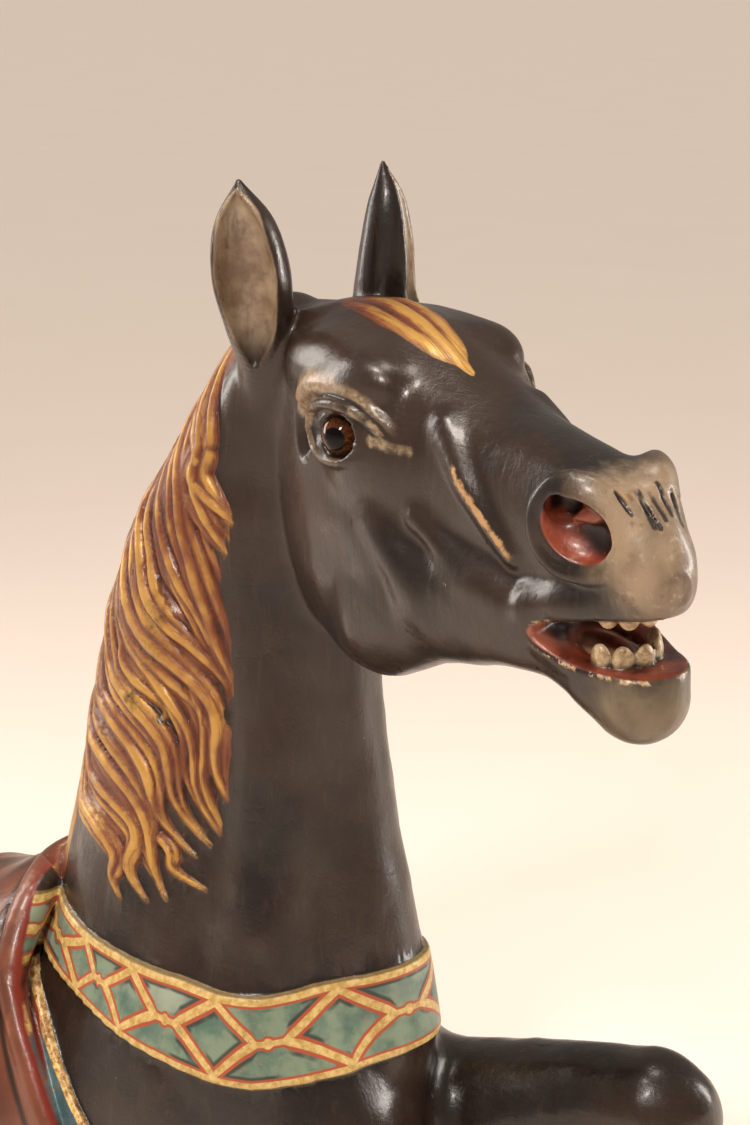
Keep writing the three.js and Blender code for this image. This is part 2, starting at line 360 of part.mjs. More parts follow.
// thin the skin to the wanted number of facets by collapsing the edges that matter least
function thin({ P, T }, want) {
  const pos = P.map(p => p.slice()), tri = T.map(t => t.slice()), alive = new Uint8Array(tri.length).fill(1);
  const fan = pos.map(() => new Set());
  tri.forEach((t, i) => t.forEach(v => fan[v].add(i)));
  const Q = pos.map(() => new Float64Array(10));
  const normal = (a, b, c) => {
    const u = [b[0] - a[0], b[1] - a[1], b[2] - a[2]], v = [c[0] - a[0], c[1] - a[1], c[2] - a[2]];
    return [u[1] * v[2] - u[2] * v[1], u[2] * v[0] - u[0] * v[2], u[0] * v[1] - u[1] * v[0]];
  };
  for (const t of tri) {
    const [a, b, c] = t.map(v => pos[v]), n = normal(a, b, c), len = Math.hypot(...n);
    if (len < 1e-9) continue;
    const m = n.map(v => v / len), d = -(m[0] * a[0] + m[1] * a[1] + m[2] * a[2]), w = len / 2;
    const q = [m[0] * m[0], m[0] * m[1], m[0] * m[2], m[0] * d, m[1] * m[1], m[1] * m[2], m[1] * d, m[2] * m[2], m[2] * d, d * d];
    for (const v of t) for (let i = 0; i < 10; i++) Q[v][i] += w * q[i];
  }
  const cost = (q, p) => {
    const [x, y, z] = p;
    return q[0] * x * x + 2 * q[1] * x * y + 2 * q[2] * x * z + 2 * q[3] * x + q[4] * y * y + 2 * q[5] * y * z + 2 * q[6] * y + q[7] * z * z + 2 * q[8] * z + q[9];
  };
  const bestPlace = (a, b) => {
    const q = new Float64Array(10);
    for (let i = 0; i < 10; i++) q[i] = Q[a][i] + Q[b][i];
    const A = pos[a], B = pos[b], M = [0, 1, 2].map(i => (A[i] + B[i]) / 2);
    // solve for the least cost, held near the middle of the edge
    const reg = 1e-3 * (q[0] + q[4] + q[7]) + 1e-9, m00 = q[0] + reg, m11 = q[4] + reg, m22 = q[7] + reg, m01 = q[1], m02 = q[2], m12 = q[5];
    const b0 = -q[3] + reg * M[0], b1 = -q[6] + reg * M[1], b2 = -q[8] + reg * M[2];
    const det = m00 * (m11 * m22 - m12 * m12) - m01 * (m01 * m22 - m12 * m02) + m02 * (m01 * m12 - m11 * m02);
    let p = M;
    if (Math.abs(det) > 1e-12) {
      const x = (b0 * (m11 * m22 - m12 * m12) - m01 * (b1 * m22 - m12 * b2) + m02 * (b1 * m12 - m11 * b2)) / det;
      const y = (m00 * (b1 * m22 - b2 * m12) - b0 * (m01 * m22 - m12 * m02) + m02 * (m01 * b2 - b1 * m02)) / det;
      const z = (m00 * (m11 * b2 - m12 * b1) - m01 * (m01 * b2 - b1 * m02) + b0 * (m01 * m12 - m11 * m02)) / det;
      const len = Math.hypot(A[0] - B[0], A[1] - B[1], A[2] - B[2]);
      if (Math.hypot(x - M[0], y - M[1], z - M[2]) < 1.5 * len + 1) p = [x, y, z];
    }
    return [p, Math.max(cost(q, p), 0) + 1e-7 * ((A[0] - B[0]) ** 2 + (A[1] - B[1]) ** 2 + (A[2] - B[2]) ** 2)];
  };
  const longest = q => Math.max(...[[0, 1], [1, 2], [0, 2]].map(([i, j]) => (q[i][0] - q[j][0]) ** 2 + (q[i][1] - q[j][1]) ** 2 + (q[i][2] - q[j][2]) ** 2));
  // heap of [cost, a, b, stampA, stampB]
  const heap = [], stampOf = new Int32Array(pos.length);
  const less = (i, j) => heap[i][0] < heap[j][0];
  const swap = (i, j) => { const t = heap[i]; heap[i] = heap[j]; heap[j] = t; };
  const add = e => { heap.push(e); let i = heap.length - 1; while (i > 0) { const p = (i - 1) >> 1; if (!less(i, p)) break; swap(i, p); i = p; } };
  const pop = () => {
    const top = heap[0], last = heap.pop();
    if (heap.length) { heap[0] = last; let i = 0; for (;;) { let s = i; const l = 2 * i + 1, r = l + 1; if (l < heap.length && less(l, s)) s = l; if (r < heap.length && less(r, s)) s = r; if (s === i) break; swap(i, s); i = s; } }
    return top;
  };
  const around = v => { const s = new Set(); for (const i of fan[v]) for (const w of tri[i]) if (w !== v) s.add(w); return s; };
  const offer = (a, b) => { const [p, c] = bestPlace(a, b); add([c, a, b, stampOf[a], stampOf[b], p]); };
  for (let v = 0; v < pos.length; v++) for (const w of around(v)) if (v < w) offer(v, w);
  let left = tri.length, strict = true, idle = 0;
  while (left > want) {
    if (!heap.length) {                    // offer what is left once more, less strictly
      if (!strict || idle++ > 3) break;
      if (idle > 2) strict = false;
      for (let v = 0; v < pos.length; v++) if (fan[v].size) for (const w of around(v)) if (v < w) offer(v, w);
      continue;
    }
    const [, a, b, sa, sb, p] = pop();
    if (stampOf[a] !== sa || stampOf[b] !== sb) continue;
    const na = around(a), nb = around(b);
    let common = 0;
    for (const v of na) if (nb.has(v)) common++;
    const shared = [...fan[a]].filter(i => fan[b].has(i));
    if (common !== 2 || shared.length !== 2) continue;
    let bad = false;
    for (const [v, o] of [[a, b], [b, a]]) {
      for (const i of fan[v]) {
        if (fan[o].has(i)) continue;
        const t = tri[i], before = normal(...t.map(w => pos[w])), after = normal(...t.map(w => (w === v ? p : pos[w])));
        const l1 = Math.hypot(...before), l2 = Math.hypot(...after);
        if (l2 < 1e-4) { bad = true; break; }
        if (l1 > 0.04 * CELL * CELL && (before[0] * after[0] + before[1] * after[1] + before[2] * after[2]) < (strict ? 0.3 : 0.05) * l1 * l2) { bad = true; break; }
        const f1 = l1 / longest(t.map(w => pos[w])), f2 = l2 / longest(t.map(w => (w === v ? p : pos[w])));
        if (strict && f2 < 0.05 && f2 < 0.8 * f1) { bad = true; break; }
      }
      if (bad) break;
    }
    if (bad) continue;
    for (const i of shared) { alive[i] = 0; for (const v of tri[i]) fan[v].delete(i); left--; }
    for (const i of fan[b]) { tri[i] = tri[i].map(v => (v === b ? a : v)); fan[a].add(i); }
    fan[b].clear(); pos[a] = p;
    for (let i = 0; i < 10; i++) Q[a][i] += Q[b][i];
    stampOf[a]++; stampOf[b]++;
    for (const w of around(a)) offer(Math.min(a, w), Math.max(a, w));
  }
  const map = new Map(), outP = [], outT = [];
  tri.forEach((t, i) => { if (alive[i]) outT.push(t.map(v => { if (!map.has(v)) { map.set(v, outP.length); outP.push(pos[v]); } return map.get(v); })); });
  return { P: outP, T: outT };
}

// ---------------------------------------------------------------- solids
const wasm = await Module();
wasm.setup();
const solidOf = ({ P, T }) => new wasm.Manifold(new wasm.Mesh({ numProp: 3, vertProperties: new Float32Array(P.flat()), triVerts: new Uint32Array(T.flat()) }));
function solidOfGeometry(geometry) {
  const g = geometry.index ? geometry.toNonIndexed() : geometry.clone();
  g.deleteAttribute('normal'); g.deleteAttribute('uv');
  const m = mergeVertices(g, 1e-5), p = m.getAttribute('position'), idx = m.getIndex(), tri = [];
  for (let i = 0; i < idx.count; i += 3) {
    const a = idx.getX(i), b = idx.getX(i + 1), c = idx.getX(i + 2);
    if (a !== b && b !== c && a !== c) tri.push(a, b, c);
  }
  return new wasm.Manifold(new wasm.Mesh({ numProp: 3, vertProperties: new Float32Array(p.array), triVerts: new Uint32Array(tri) }));
}
function geometryOf(solid) {
  const m = solid.getMesh(), g = new THREE.BufferGeometry();
  g.setAttribute('position', new THREE.BufferAttribute(new Float32Array(m.vertProperties), 3));
  g.setIndex(new THREE.BufferAttribute(new Uint32Array(m.triVerts), 1));
  g.computeVertexNormals();
  return g;
}
const boxAt = (w, d, h, x, y, z) => solidOfGeometry(new THREE.BoxGeometry(w, d, h).translate(x, y, z));
const eyeBall = (radius, c) => solidOfGeometry(new THREE.SphereGeometry(radius, 16, 10).translate(...c));

carveBody();
carveMane();
carveTrappings();
carveHead();
const wood = thin(largest(skin()), TRIANGLES);
const EYES = { glass_eye_left: place(HEAD, EYE_AT), glass_eye_right: place(HEAD, mirror(EYE_AT)) };
let bust = solidOf(wood)
  .subtract(boxAt(1200, 900, 200, -100, 0, BASE_Z - 100))
  .subtract(boxAt(200, 900, 1200, REAR_X - 100, 0, 300));
for (const c of Object.values(EYES)) bust = bust.subtract(eyeBall(EYE_RADIUS + EYE_GAP, c));
const pieces = bust.decompose().sort((a, b) => b.volume() - a.volume());
bust = pieces[0];

// ---------------------------------------------------------------- the object
const box = bust.boundingBox();
const shift = [-(box.min[0] + box.max[0]) / 2, -(box.min[1] + box.max[1]) / 2, -BASE_Z];
const horse = new THREE.Group();
const lacquer = new THREE.MeshStandardMaterial({ color: 0x241a15, roughness: 0.38, metalness: 0 });
const bustMesh = new THREE.Mesh(geometryOf(bust), lacquer);
bustMesh.name = 'carved_horse_bust';
horse.add(bustMesh);
for (const [name, c] of Object.entries(EYES)) {
  const glass = new THREE.MeshStandardMaterial({ color: 0x2a1206, roughness: 0.05, metalness: 0 });
  const eye = new THREE.Mesh(geometryOf(eyeBall(EYE_RADIUS, [0, 0, 0])), glass);
  eye.name = name;
  eye.position.set(...c);
  horse.add(eye);
}
horse.position.set(...shift);
horse.updateMatrixWorld(true);
export default horse;
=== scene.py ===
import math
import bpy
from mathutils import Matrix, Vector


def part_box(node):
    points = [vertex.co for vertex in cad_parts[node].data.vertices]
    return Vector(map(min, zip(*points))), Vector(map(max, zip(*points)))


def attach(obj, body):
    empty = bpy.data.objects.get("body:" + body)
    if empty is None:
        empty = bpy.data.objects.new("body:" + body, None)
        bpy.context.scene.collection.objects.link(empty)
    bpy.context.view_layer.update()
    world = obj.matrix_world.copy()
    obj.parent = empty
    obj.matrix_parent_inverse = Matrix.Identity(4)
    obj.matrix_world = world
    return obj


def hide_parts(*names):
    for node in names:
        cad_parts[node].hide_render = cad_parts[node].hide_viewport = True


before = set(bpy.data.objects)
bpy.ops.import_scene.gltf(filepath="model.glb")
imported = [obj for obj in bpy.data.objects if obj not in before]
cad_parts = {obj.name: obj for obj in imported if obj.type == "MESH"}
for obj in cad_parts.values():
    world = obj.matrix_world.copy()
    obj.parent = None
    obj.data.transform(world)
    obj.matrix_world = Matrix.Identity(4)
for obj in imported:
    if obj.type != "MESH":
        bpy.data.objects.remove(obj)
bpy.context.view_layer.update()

# Looks of the carousel horse bust. The carving is described as a field (distance to the
# wood's surface, in mm) with the same named sizes as the CAD solid, plus the finer relief:
# strands of the mane, eyelids, wrinkles, teeth, tool marks. Its skin is then taken off,
# thinned, sawn flat below and behind, and painted through attributes and shader nodes.
from concurrent.futures import ThreadPoolExecutor

import bmesh
import bpy
import numpy as np
from mathutils import Matrix, Vector, kdtree

f32 = np.float32

# ------------------------------------------------------------------ driving sizes (mm)
BASE_Z, REAR_X = 0.0, -390.0
HEAD_AT = (45.05, -63.59, 609.0)
HEAD_YAW, HEAD_PITCH, HEAD_ROLL = -27.1, 1.7, 6.4
EYE_AT, EYE_RADIUS = (-5.5, 53.7, -3.5), 16.0
MAX_FACES = 196000
# neck and breast: height, centre x, centre y, half depth, half width
NECK = [[0, -150, 0, 160, 112], [60, -150, 0, 158, 114], [120, -150, 0, 153, 108], [180, -148, 0, 146, 97],
        [235, -147, 0, 136, 84], [300, -145, 0, 122, 72], [370, -142, -2, 111, 64], [440, -134, -5, 101, 58],
        [510, -117, -10, 87, 52], [570, -93, -16, 69, 47], [620, -72, -22, 53, 43], [648, -60, -26, 42, 38],
        [662, -52, -27, 32, 30]]
# skull, in the head frame: x, centre y, centre z, half width, half height
SKULL = [[-122, 0, -10, 26, 32], [-105, 0, -8, 44, 55], [-80, 0, -6, 52, 65], [-40, 0, -8, 56, 69], [0, 0, -10, 57, 68],
         [30, 0, -14, 53, 62], [60, 0, -20, 48, 56], [100, 0, -28, 41, 50], [140, 0, -32, 36, 48], [175, 0, -34, 33, 46],
         [200, 0, -35, 30, 42], [220, 0, -38, 26, 36], [234, 0, -43, 21, 28], [243, 0, -48, 15, 19], [248, 0, -52, 8, 9]]
EAR_LEFT = [[-121, 43, -6], [-116, 43, 20], [-111, 45, 48], [-107, 47, 80], [-106, 48, 110], [-108, 47, 134]]
EAR_RIGHT = [[-119, -48, -8], [-112, -50, 18], [-107, -53, 48], [-103, -57, 82], [-103, -59, 114], [-106, -58, 139]]
EAR_LEFT_R, EAR_RIGHT_R = [15, 21, 22, 19, 13, 2], [9, 15.5, 22, 25.5, 19, 2]
# locks of the mane: height at root and tip, angle from the crest at root and tip, two sways, half width
LOCKS = [[560, 509, 66, 107, -6, -5, 9], [571, 477, 61, 110, -3, -5, 9], [538, 354, 58, 128, 7, 2, 10],
         [512, 383, 58, 109, 12, -1, 8], [485, 386, 51, 108, 7, -7, 9], [436, 312, 62, 121, 13, 9, 11],
         [421, 378, 51, 81, 2, -5, 6], [408, 303, 75, 109, 3, 5, 8], [410, 304, 92, 111, -3, 3, 7],
         [397, 298, 48, 103, 11, 7, 9], [378, 289, 36, 98, 12, 8, 9], [353, 256, 28, 89, 20, 6, 9],
         [322, 251, 41, 82, 13, 8, 8], [296, 247, 36, 71, 14, 6, 8], [296, 268, 84, 103, -4, 3, 4]]
SADDLE = [[-420, 0, 40, 137, 158], [-380, 0, 40, 137, 160], [-350, 0, 40, 136, 166], [-325, 0, 40, 134, 178], [-306, 0, 40, 131, 184]]
# the rolled front edge of the saddle, from the top of the arch down the side: x, half width, height
ROLL = [[-294, 0, 233], [-293, 22, 231], [-290, 42, 224], [-286, 62, 211], [-283, 79, 193], [-278, 93, 172],
        [-264, 104, 148], [-247, 113, 124], [-226, 122, 93], [-206, 126, 62], [-186, 127, 30], [-166, 126, -2], [-150, 125, -28]]
ROLL_R = [15, 15, 14.5, 14, 12.5, 11, 10, 9.5, 9.5, 9.5, 9.5, 9.5, 9.5]
BLANKET_THICK, FLAP_THICK, BAND_THICK = 4.5, 10.0, 3.5


def turn(yaw, pitch, roll):
    yaw, pitch, roll = (math.radians(a) for a in (yaw, pitch, roll))
    cy, sy, cp, sp, cr, sr = math.cos(yaw), math.sin(yaw), math.cos(pitch), math.sin(pitch), math.cos(roll), math.sin(roll)
    return np.array([[cy, -sy, 0], [sy, cy, 0], [0, 0, 1.0]]) @ np.array([[cp, 0, sp], [0, 1, 0], [-sp, 0, cp]]) @ np.array([[1.0, 0, 0], [0, cr, -sr], [0, sr, cr]])


HEAD_R = turn(HEAD_YAW, HEAD_PITCH, HEAD_ROLL)
HEAD_T = np.array(HEAD_AT)
HEAD, WORLD = (HEAD_R, HEAD_T), (np.eye(3), np.zeros(3))


def out_of_head(p):
    return np.asarray(p, float) @ HEAD_R.T + HEAD_T


def into_head(p):
    return (np.asarray(p, float) - HEAD_T) @ HEAD_R


low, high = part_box("glass_eye_left")
SHIFT = np.array((low + high) / 2) * 1000 - out_of_head(EYE_AT)      # row frame = model frame + SHIFT, mm


def mirror(v):
    return [v[0], -v[1], v[2]]


def catmull(pts, n):
    P = np.array(pts, float); m = len(P)
    if m < 3:
        t = np.linspace(0, 1, n)[:, None]
        return P[0] * (1 - t) + P[-1] * t
    Q = np.vstack([2 * P[0] - P[1], P, 2 * P[-1] - P[-2]]); out = []
    for s in np.linspace(0, m - 1, n):
        i = min(int(s), m - 2); t = s - i; a, b, c, d = Q[i:i + 4]
        out.append(0.5 * ((2 * b) + (c - a) * t + (2 * a - 5 * b + 4 * c - d) * t * t + (3 * b - a - 3 * c + d) * t ** 3))
    return np.array(out)


def radii(rad, n):
    """Radii along a curve, eased between the given ones."""
    if len(rad) < 3 or len(rad) > 12:
        return np.interp(np.linspace(0, 1, n), np.linspace(0, 1, len(rad)), rad)
    return np.maximum(catmull([[v] for v in rad], n)[:, 0], 0.3)


# ------------------------------------------------------------------ the sampled field
class Grid:
    """Samples on a grid whose spacing may differ from place to place."""

    def __init__(self, axes):
        self.ax = [np.asarray(a, f32) for a in axes]
        self.F = np.full([len(a) for a in self.ax], 60, f32)

    def box(self, lo, hi):
        out = []
        for i in range(3):
            a, b = np.searchsorted(self.ax[i], lo[i]), np.searchsorted(self.ax[i], hi[i], side="right")
            if b <= a:
                return None
            out.append(slice(int(a), int(b)))
        return tuple(out)

    def coords(self, sl, space, c):
        R, t = space
        w = R @ np.asarray(c, float) + t
        X, Y, Z = (self.ax[0][sl[0]][:, None, None] - f32(w[0]), self.ax[1][sl[1]][None, :, None] - f32(w[1]), self.ax[2][sl[2]][None, None, :] - f32(w[2]))
        if space is WORLD:
            return X, Y, Z
        return tuple(X * f32(R[0, j]) + Y * f32(R[1, j]) + Z * f32(R[2, j]) for j in range(3))


def smin(a, b, k):
    if k <= 0:
        return np.minimum(a, b)
    h = np.maximum(k - np.abs(a - b), 0)
    return np.minimum(a, b) - h * h * f32(0.25 / k)


def smax(a, b, k):
    return -smin(-a, -b, k)


def ball_distance(x, y, z, r):
    x, y, z = x / f32(r[0]), y / f32(r[1]), z / f32(r[2])
    k0 = np.sqrt(x * x + y * y + z * z)
    x, y, z = x / f32(r[0]), y / f32(r[1]), z / f32(r[2])
    return k0 * (k0 - 1) / (np.sqrt(x * x + y * y + z * z) + f32(1e-6))


REACH = 14.0


class Carver:
    """Adds to or cuts from a grid: balls, tubes along curves, and lofts of oval sections."""

    def __init__(self, grid):
        self.g = grid

    def put(self, sl, d, k, mode):
        F = self.g.F[sl]
        self.g.F[sl] = smin(F, d, k) if mode == "add" else smax(F, -d, k)

    def ball(self, space, c, r, k, rt=None, mode="add"):
        L = space[0] @ turn(*rt) if rt is not None else space[0]
        w = space[0] @ np.array(c, float) + space[1]
        ext = np.sqrt((L ** 2) @ (np.array(r, float) ** 2)) + k + REACH
        sl = self.g.box(w - ext, w + ext)
        if sl is None:
            return
        self.put(sl, ball_distance(*self.g.coords(sl, (L, w), (0, 0, 0)), r), k, mode)

    def tube(self, space, pts, rad, k, mode="add", n=None, flat=None):
        n = 2 if len(pts) == 2 else (n or 4 * (len(pts) - 1) + 1)
        P = catmull(pts, n)
        r = radii(rad, n)
        W = P @ space[0].T + space[1]
        m = r.max() + k + REACH
        sl = self.g.box(W.min(0) - m, W.max(0) + m)
        if sl is None:
            return
        x, y, z = self.g.coords(sl, WORLD, (0, 0, 0))
        fn = None if flat is None else space[0] @ np.array(flat[0], float)
        best = near = None
        for i in range(n - 1):
            a, ba = W[i], W[i + 1] - W[i]
            L2 = max(float(ba @ ba), 1e-6)
            px, py, pz = x - f32(a[0]), y - f32(a[1]), z - f32(a[2])
            t = np.clip(px * f32(ba[0] / L2) + py * f32(ba[1] / L2) + pz * f32(ba[2] / L2), 0, 1)
            px, py, pz = px - t * f32(ba[0]), py - t * f32(ba[1]), pz - t * f32(ba[2])
            q = px * px + py * py + pz * pz
            if fn is not None:
                u = px * f32(fn[0]) + py * f32(fn[1]) + pz * f32(fn[2])
                q = q + u * u * f32(1 / flat[1] ** 2 - 1)
            rr = f32(r[i]) + t * f32(r[i + 1] - r[i])
            if best is None:
                best, near = q, rr
            else:
                c = q < best
                near = np.where(c, rr, near)
                best = np.minimum(q, best)
        self.put(sl, (np.sqrt(best) - near).astype(f32), k, mode)

    def loft(self, space, ax, knots, k, lo, hi, e=2.0):
        S = catmull(knots, 160); S = S[np.argsort(S[:, 0])]
        first, last = min(r[0] for r in knots), max(r[0] for r in knots)
        cs = np.array([[a, b, c] for a in (lo[0], hi[0]) for b in (lo[1], hi[1]) for c in (lo[2], hi[2])], float) @ space[0].T + space[1]
        sl = self.g.box(cs.min(0) - REACH, cs.max(0) + REACH)
        if sl is None:
            return
        x, y, z = self.g.coords(sl, space, (0, 0, 0))
        q, a, b = (x, y, z) if ax == 0 else (z, x, y)
        q1 = np.clip(q, first, last)
        f = lambda j: np.interp(q1.ravel(), S[:, 0], S[:, j]).reshape(q1.shape).astype(f32)
        c1, c2, r1, r2 = f(1), f(2), np.maximum(f(3), 0.5), np.maximum(f(4), 0.5)
        A, B = np.abs(a - c1) / r1, np.abs(b - c2) / r2
        k0 = np.sqrt(A * A + B * B) if e == 2.0 else (A ** f32(e) + B ** f32(e)) ** f32(1 / e)
        kk = np.sqrt((A / r1) ** 2 + (B / r2) ** 2) + f32(1e-5)
        d = np.where(k0 > 0.5, (k0 - 1) * np.sqrt(A * A + B * B) / kk, (k0 - 1) * np.minimum(r1, r2))
        over = np.maximum(first - q, q - last)
        d = np.where(over > 0, np.sqrt(np.maximum(d, 0) ** 2 + over ** 2), d)
        shape = tuple(s.stop - s.start for s in sl)
        self.put(sl, np.broadcast_to(d, shape).astype(f32), k, "add")

    def layer(self, lo, hi, thick, region, soft=1.5):
        """A layer of that thickness over what is there so far, where region(x, y, z) is negative."""
        sl = self.g.box(lo, hi)
        if sl is None:
            return
        x, y, z = self.g.coords(sl, WORLD, (0, 0, 0))
        F = self.g.F[sl]
        self.g.F[sl] = smin(F, smax(F - f32(thick), region(x, y, z), soft), 0.5)


# ------------------------------------------------------------------ lines on the neck
def neck_at(z):
    i = 0
    while i < len(NECK) - 2 and z > NECK[i + 1][0]:
        i += 1
    t = (z - NECK[i][0]) / (NECK[i + 1][0] - NECK[i][0])
    return [NECK[i][j] * (1 - t) + NECK[i + 1][j] * t for j in range(1, 5)]


def on_neck(z, deg, up):
    """A point on the neck at that height, deg round from the crest towards the right side, up mm above it."""
    c = neck_at(z); a = math.radians(deg)
    return [c[0] - (c[2] + up) * math.cos(a), c[1] - (c[3] + up) * math.sin(a), z]


def lock_line(L, n):
    """Height and angle along a lock's middle, out of the crest and down."""
    z0, z1, a0, a1, A, B = L[:6]
    rise = min(80.0, (a0 - 10) * 1.9)
    out = []
    for i in range(n):
        t = i / (n - 1.0)
        if t < 0.3:
            q = t / 0.3
            out.append((z0 + rise * (1 - q), 10 + (a0 - 10) * q ** 1.3))
        else:
            s = (t - 0.3) / 0.7
            out.append((z0 + (z1 - z0) * s, a0 * (1 - s) + a1 * s + A * math.sin(math.pi * s) + B * math.sin(2 * math.pi * s)))
    return np.array(out)


def strand(L, n, side, lift, wave=0.0, phase=0.0, reach=1.0):
    """One strand of a lock: side is -1..1 across it, lift is mm above the neck. Returns points and half widths."""
    za = lock_line(L, n); P, R = [], []
    for i in range(n):
        t = i / (n - 1.0)
        z, a = za[i]
        j, k = max(i - 1, 0), min(i + 1, n - 1)
        c = neck_at(z); th = math.radians(a)
        mm_per_deg = math.hypot(c[2] * math.sin(th), c[3] * math.cos(th)) * math.pi / 180
        dz, ds = za[k][0] - za[j][0], (za[k][1] - za[j][1]) * mm_per_deg
        ln = math.hypot(dz, ds) or 1.0
        width = L[6] * (0.62 + 0.5 * math.sin(math.pi * min(t * 1.1, 1.0))) * max(1 - max(0.0, (t - 0.62) / 0.38) ** 1.7, 0.0)
        off = width * (side + wave * math.sin(2 * math.pi * t * 1.3 + phase))
        z2, a2 = z + off * ds / ln, a - off * dz / ln / mm_per_deg
        P.append(on_neck(z2, a2, lift * (1 - 0.55 * max(0.0, (t - 0.75) / 0.25))))
        R.append(max(width, 1.6))
    return np.array(P), np.array(R)


def make_strands():
    """Every strand of the mane as (points, radii, lock number, how far across the lock)."""
    out = []
    n = 30
    for i, L in enumerate(LOCKS):
        for j, (s, lift, w) in enumerate(((-0.72, 0.2, 0.50), (0.0, 1.8, 0.56), (0.72, 0.4, 0.50))):
            P, R = strand(L, n, s, lift, 0.16, i * 1.7 + j * 2.1)
            out.append((P, R * w, i, s))
    # fuller hair between neighbouring locks, lying a little lower
    for i in range(len(LOCKS) - 1):
        if i in (6, 7, 8, 13):
            continue
        L = [(a + b) / 2 for a, b in zip(LOCKS[i], LOCKS[i + 1])]
        L[1] += 12
        for j, s in enumerate((-0.6, 0.45)):
            P, R = strand(L, n, s, -2.6, 0.2, i * 2.3 + j * 1.1)
            out.append((P, R * 0.62, i + 0.5, s))
    return out


STRANDS = make_strands()
FORELOCK = [([[-84, -8 + s * 2, 52], [-45, s * 11, 59 - abs(s) * 2.0], [-8, -2 + s * 11.5, 57 - abs(s) * 2.6], [30, -3 + s * 7, 46.5 - abs(s)], [62 - 7 * abs(s), -3 + s * 1.6, 33]],
             [4.5, 6.4, 6.9, 5.2, 1.3], s) for s in (-1.0, 0.0, 1.0)]
LID_UPPER = [[57, 45, -4], [44, 50, 1], [31, 57, 11], [16, 63, 17.5], [-4, 65.5, 18], [-20, 64.5, 13.5], [-33, 62, 5.5], [-40, 60, -5]]
LID_LOWER = [[57, 45, -4], [44, 50, -5.5], [30, 57, -9.5], [17, 63, -14], [3, 67, -17], [-13, 67, -18], [-30, 63, -16], [-40, 60, -5]]
BROW = [[48, 47, 3], [33, 54, 14], [15, 56, 23.5], [-8, 56, 26.5], [-31, 56, 24], [-46, 56, 15], [-56, 55, 2]]
BROW_R = [1.2, 2.8, 5, 7, 7.4, 6.8, 4.5]
NOSTRIL = [[194, 28, 6], [187, 33, 4], [181, 37, -2], [176, 40, -11], [176, 42, -22], [178, 41, -33], [184, 39, -41], [193, 36, -46], [206, 31, -47], [219, 26, -44], [228, 20, -40]]
NOSTRIL_R = [4, 5, 5, 5.2, 5.2, 5.2, 5.2, 5, 4.8, 4.2, 3]
PITS = [([203, 34, -21], (22, 12.5, 17), (-32, 22, 0)), ([190, 30, -10], (10, 11, 11), (-30, 0, 0)), ([210, 29, -22], (14, 8, 4.5), (-32, 22, 0))]
FOLD = [[215, 8, -8], [210, 19, -10.5], [201, 28.8, -17]]
WRINKLES = [[[218, -6.5, 6], [223, -5, -3], [229, -3, -12], [237, -2, -19]], [[219, 1.5, 4], [226, 2.5, -6], [235, 3.5, -16]],
            [[220, -2.5, 0], [228, -4.5, -9], [236, -5.5, -18]], [[217, -16.5, 0], [222, -15, -5], [227, -13.5, -11]],
            [[220, 16.8, -5], [228, 15.6, -13], [235, 14.2, -21]], [[218, 22.2, -7], [221, 23.6, -15], [224, 24.5, -23]], [[219, 10, 0], [226, 9.5, -8], [233, 9, -15]]]
FACE_CREST = [[76, 32, 12], [92, 37, -2], [105, 40, -14], [122, 38, -31], [140, 35.5, -50]]
TEETH = [(0, [194 + 20 * math.cos((i - 2) * 0.66), 18.5 * math.sin((i - 2) * 0.66), -101.5], [4.6, 7.2, 11], (i - 2) * 38, 8) for i in range(5)] + \
        [(1, [199 + 21 * math.cos((i - 2) * 0.60), 19 * math.sin((i - 2) * 0.60), -71.5], [5, 7.0, 9], (i - 2) * 34, -8) for i in range(5)]


def blanket_front(z):
    """Where the blanket's front edge runs, as x for a height."""
    return -288 + 1.03 * np.maximum(187 - z, 0) + 0.02 * np.minimum(187 - z, 0)


def flap_front(z):
    """Where the saddle's front edge runs."""
    return np.interp(z, [r[2] for r in ROLL][::-1], [r[0] for r in ROLL][::-1])


def band_middle(x):
    back = np.maximum(-60 - x, 0)
    return 178.5 + 0.00058 * back * back + 0.15 * np.maximum(x + 60, 0)


def band_half(x):
    return 30.0 - 0.045 * np.maximum(-60 - x, 0)


def ear_hollow(E, nrm, s):
    """Middle of the hollow in an ear, in front of the ear's own middle line."""
    more = 4.5 if s > 0 else 0
    return [[E[i][0] + nrm[0] * w, E[i][1] + nrm[1] * w, E[i][2] + dz] for i, w, dz in ((1, 15 + more, 8), (2, 13.5 + more, 0), (3, 13 + more, 0), (4, 9.5 + more / 2, 0), (5, 4, -6))]


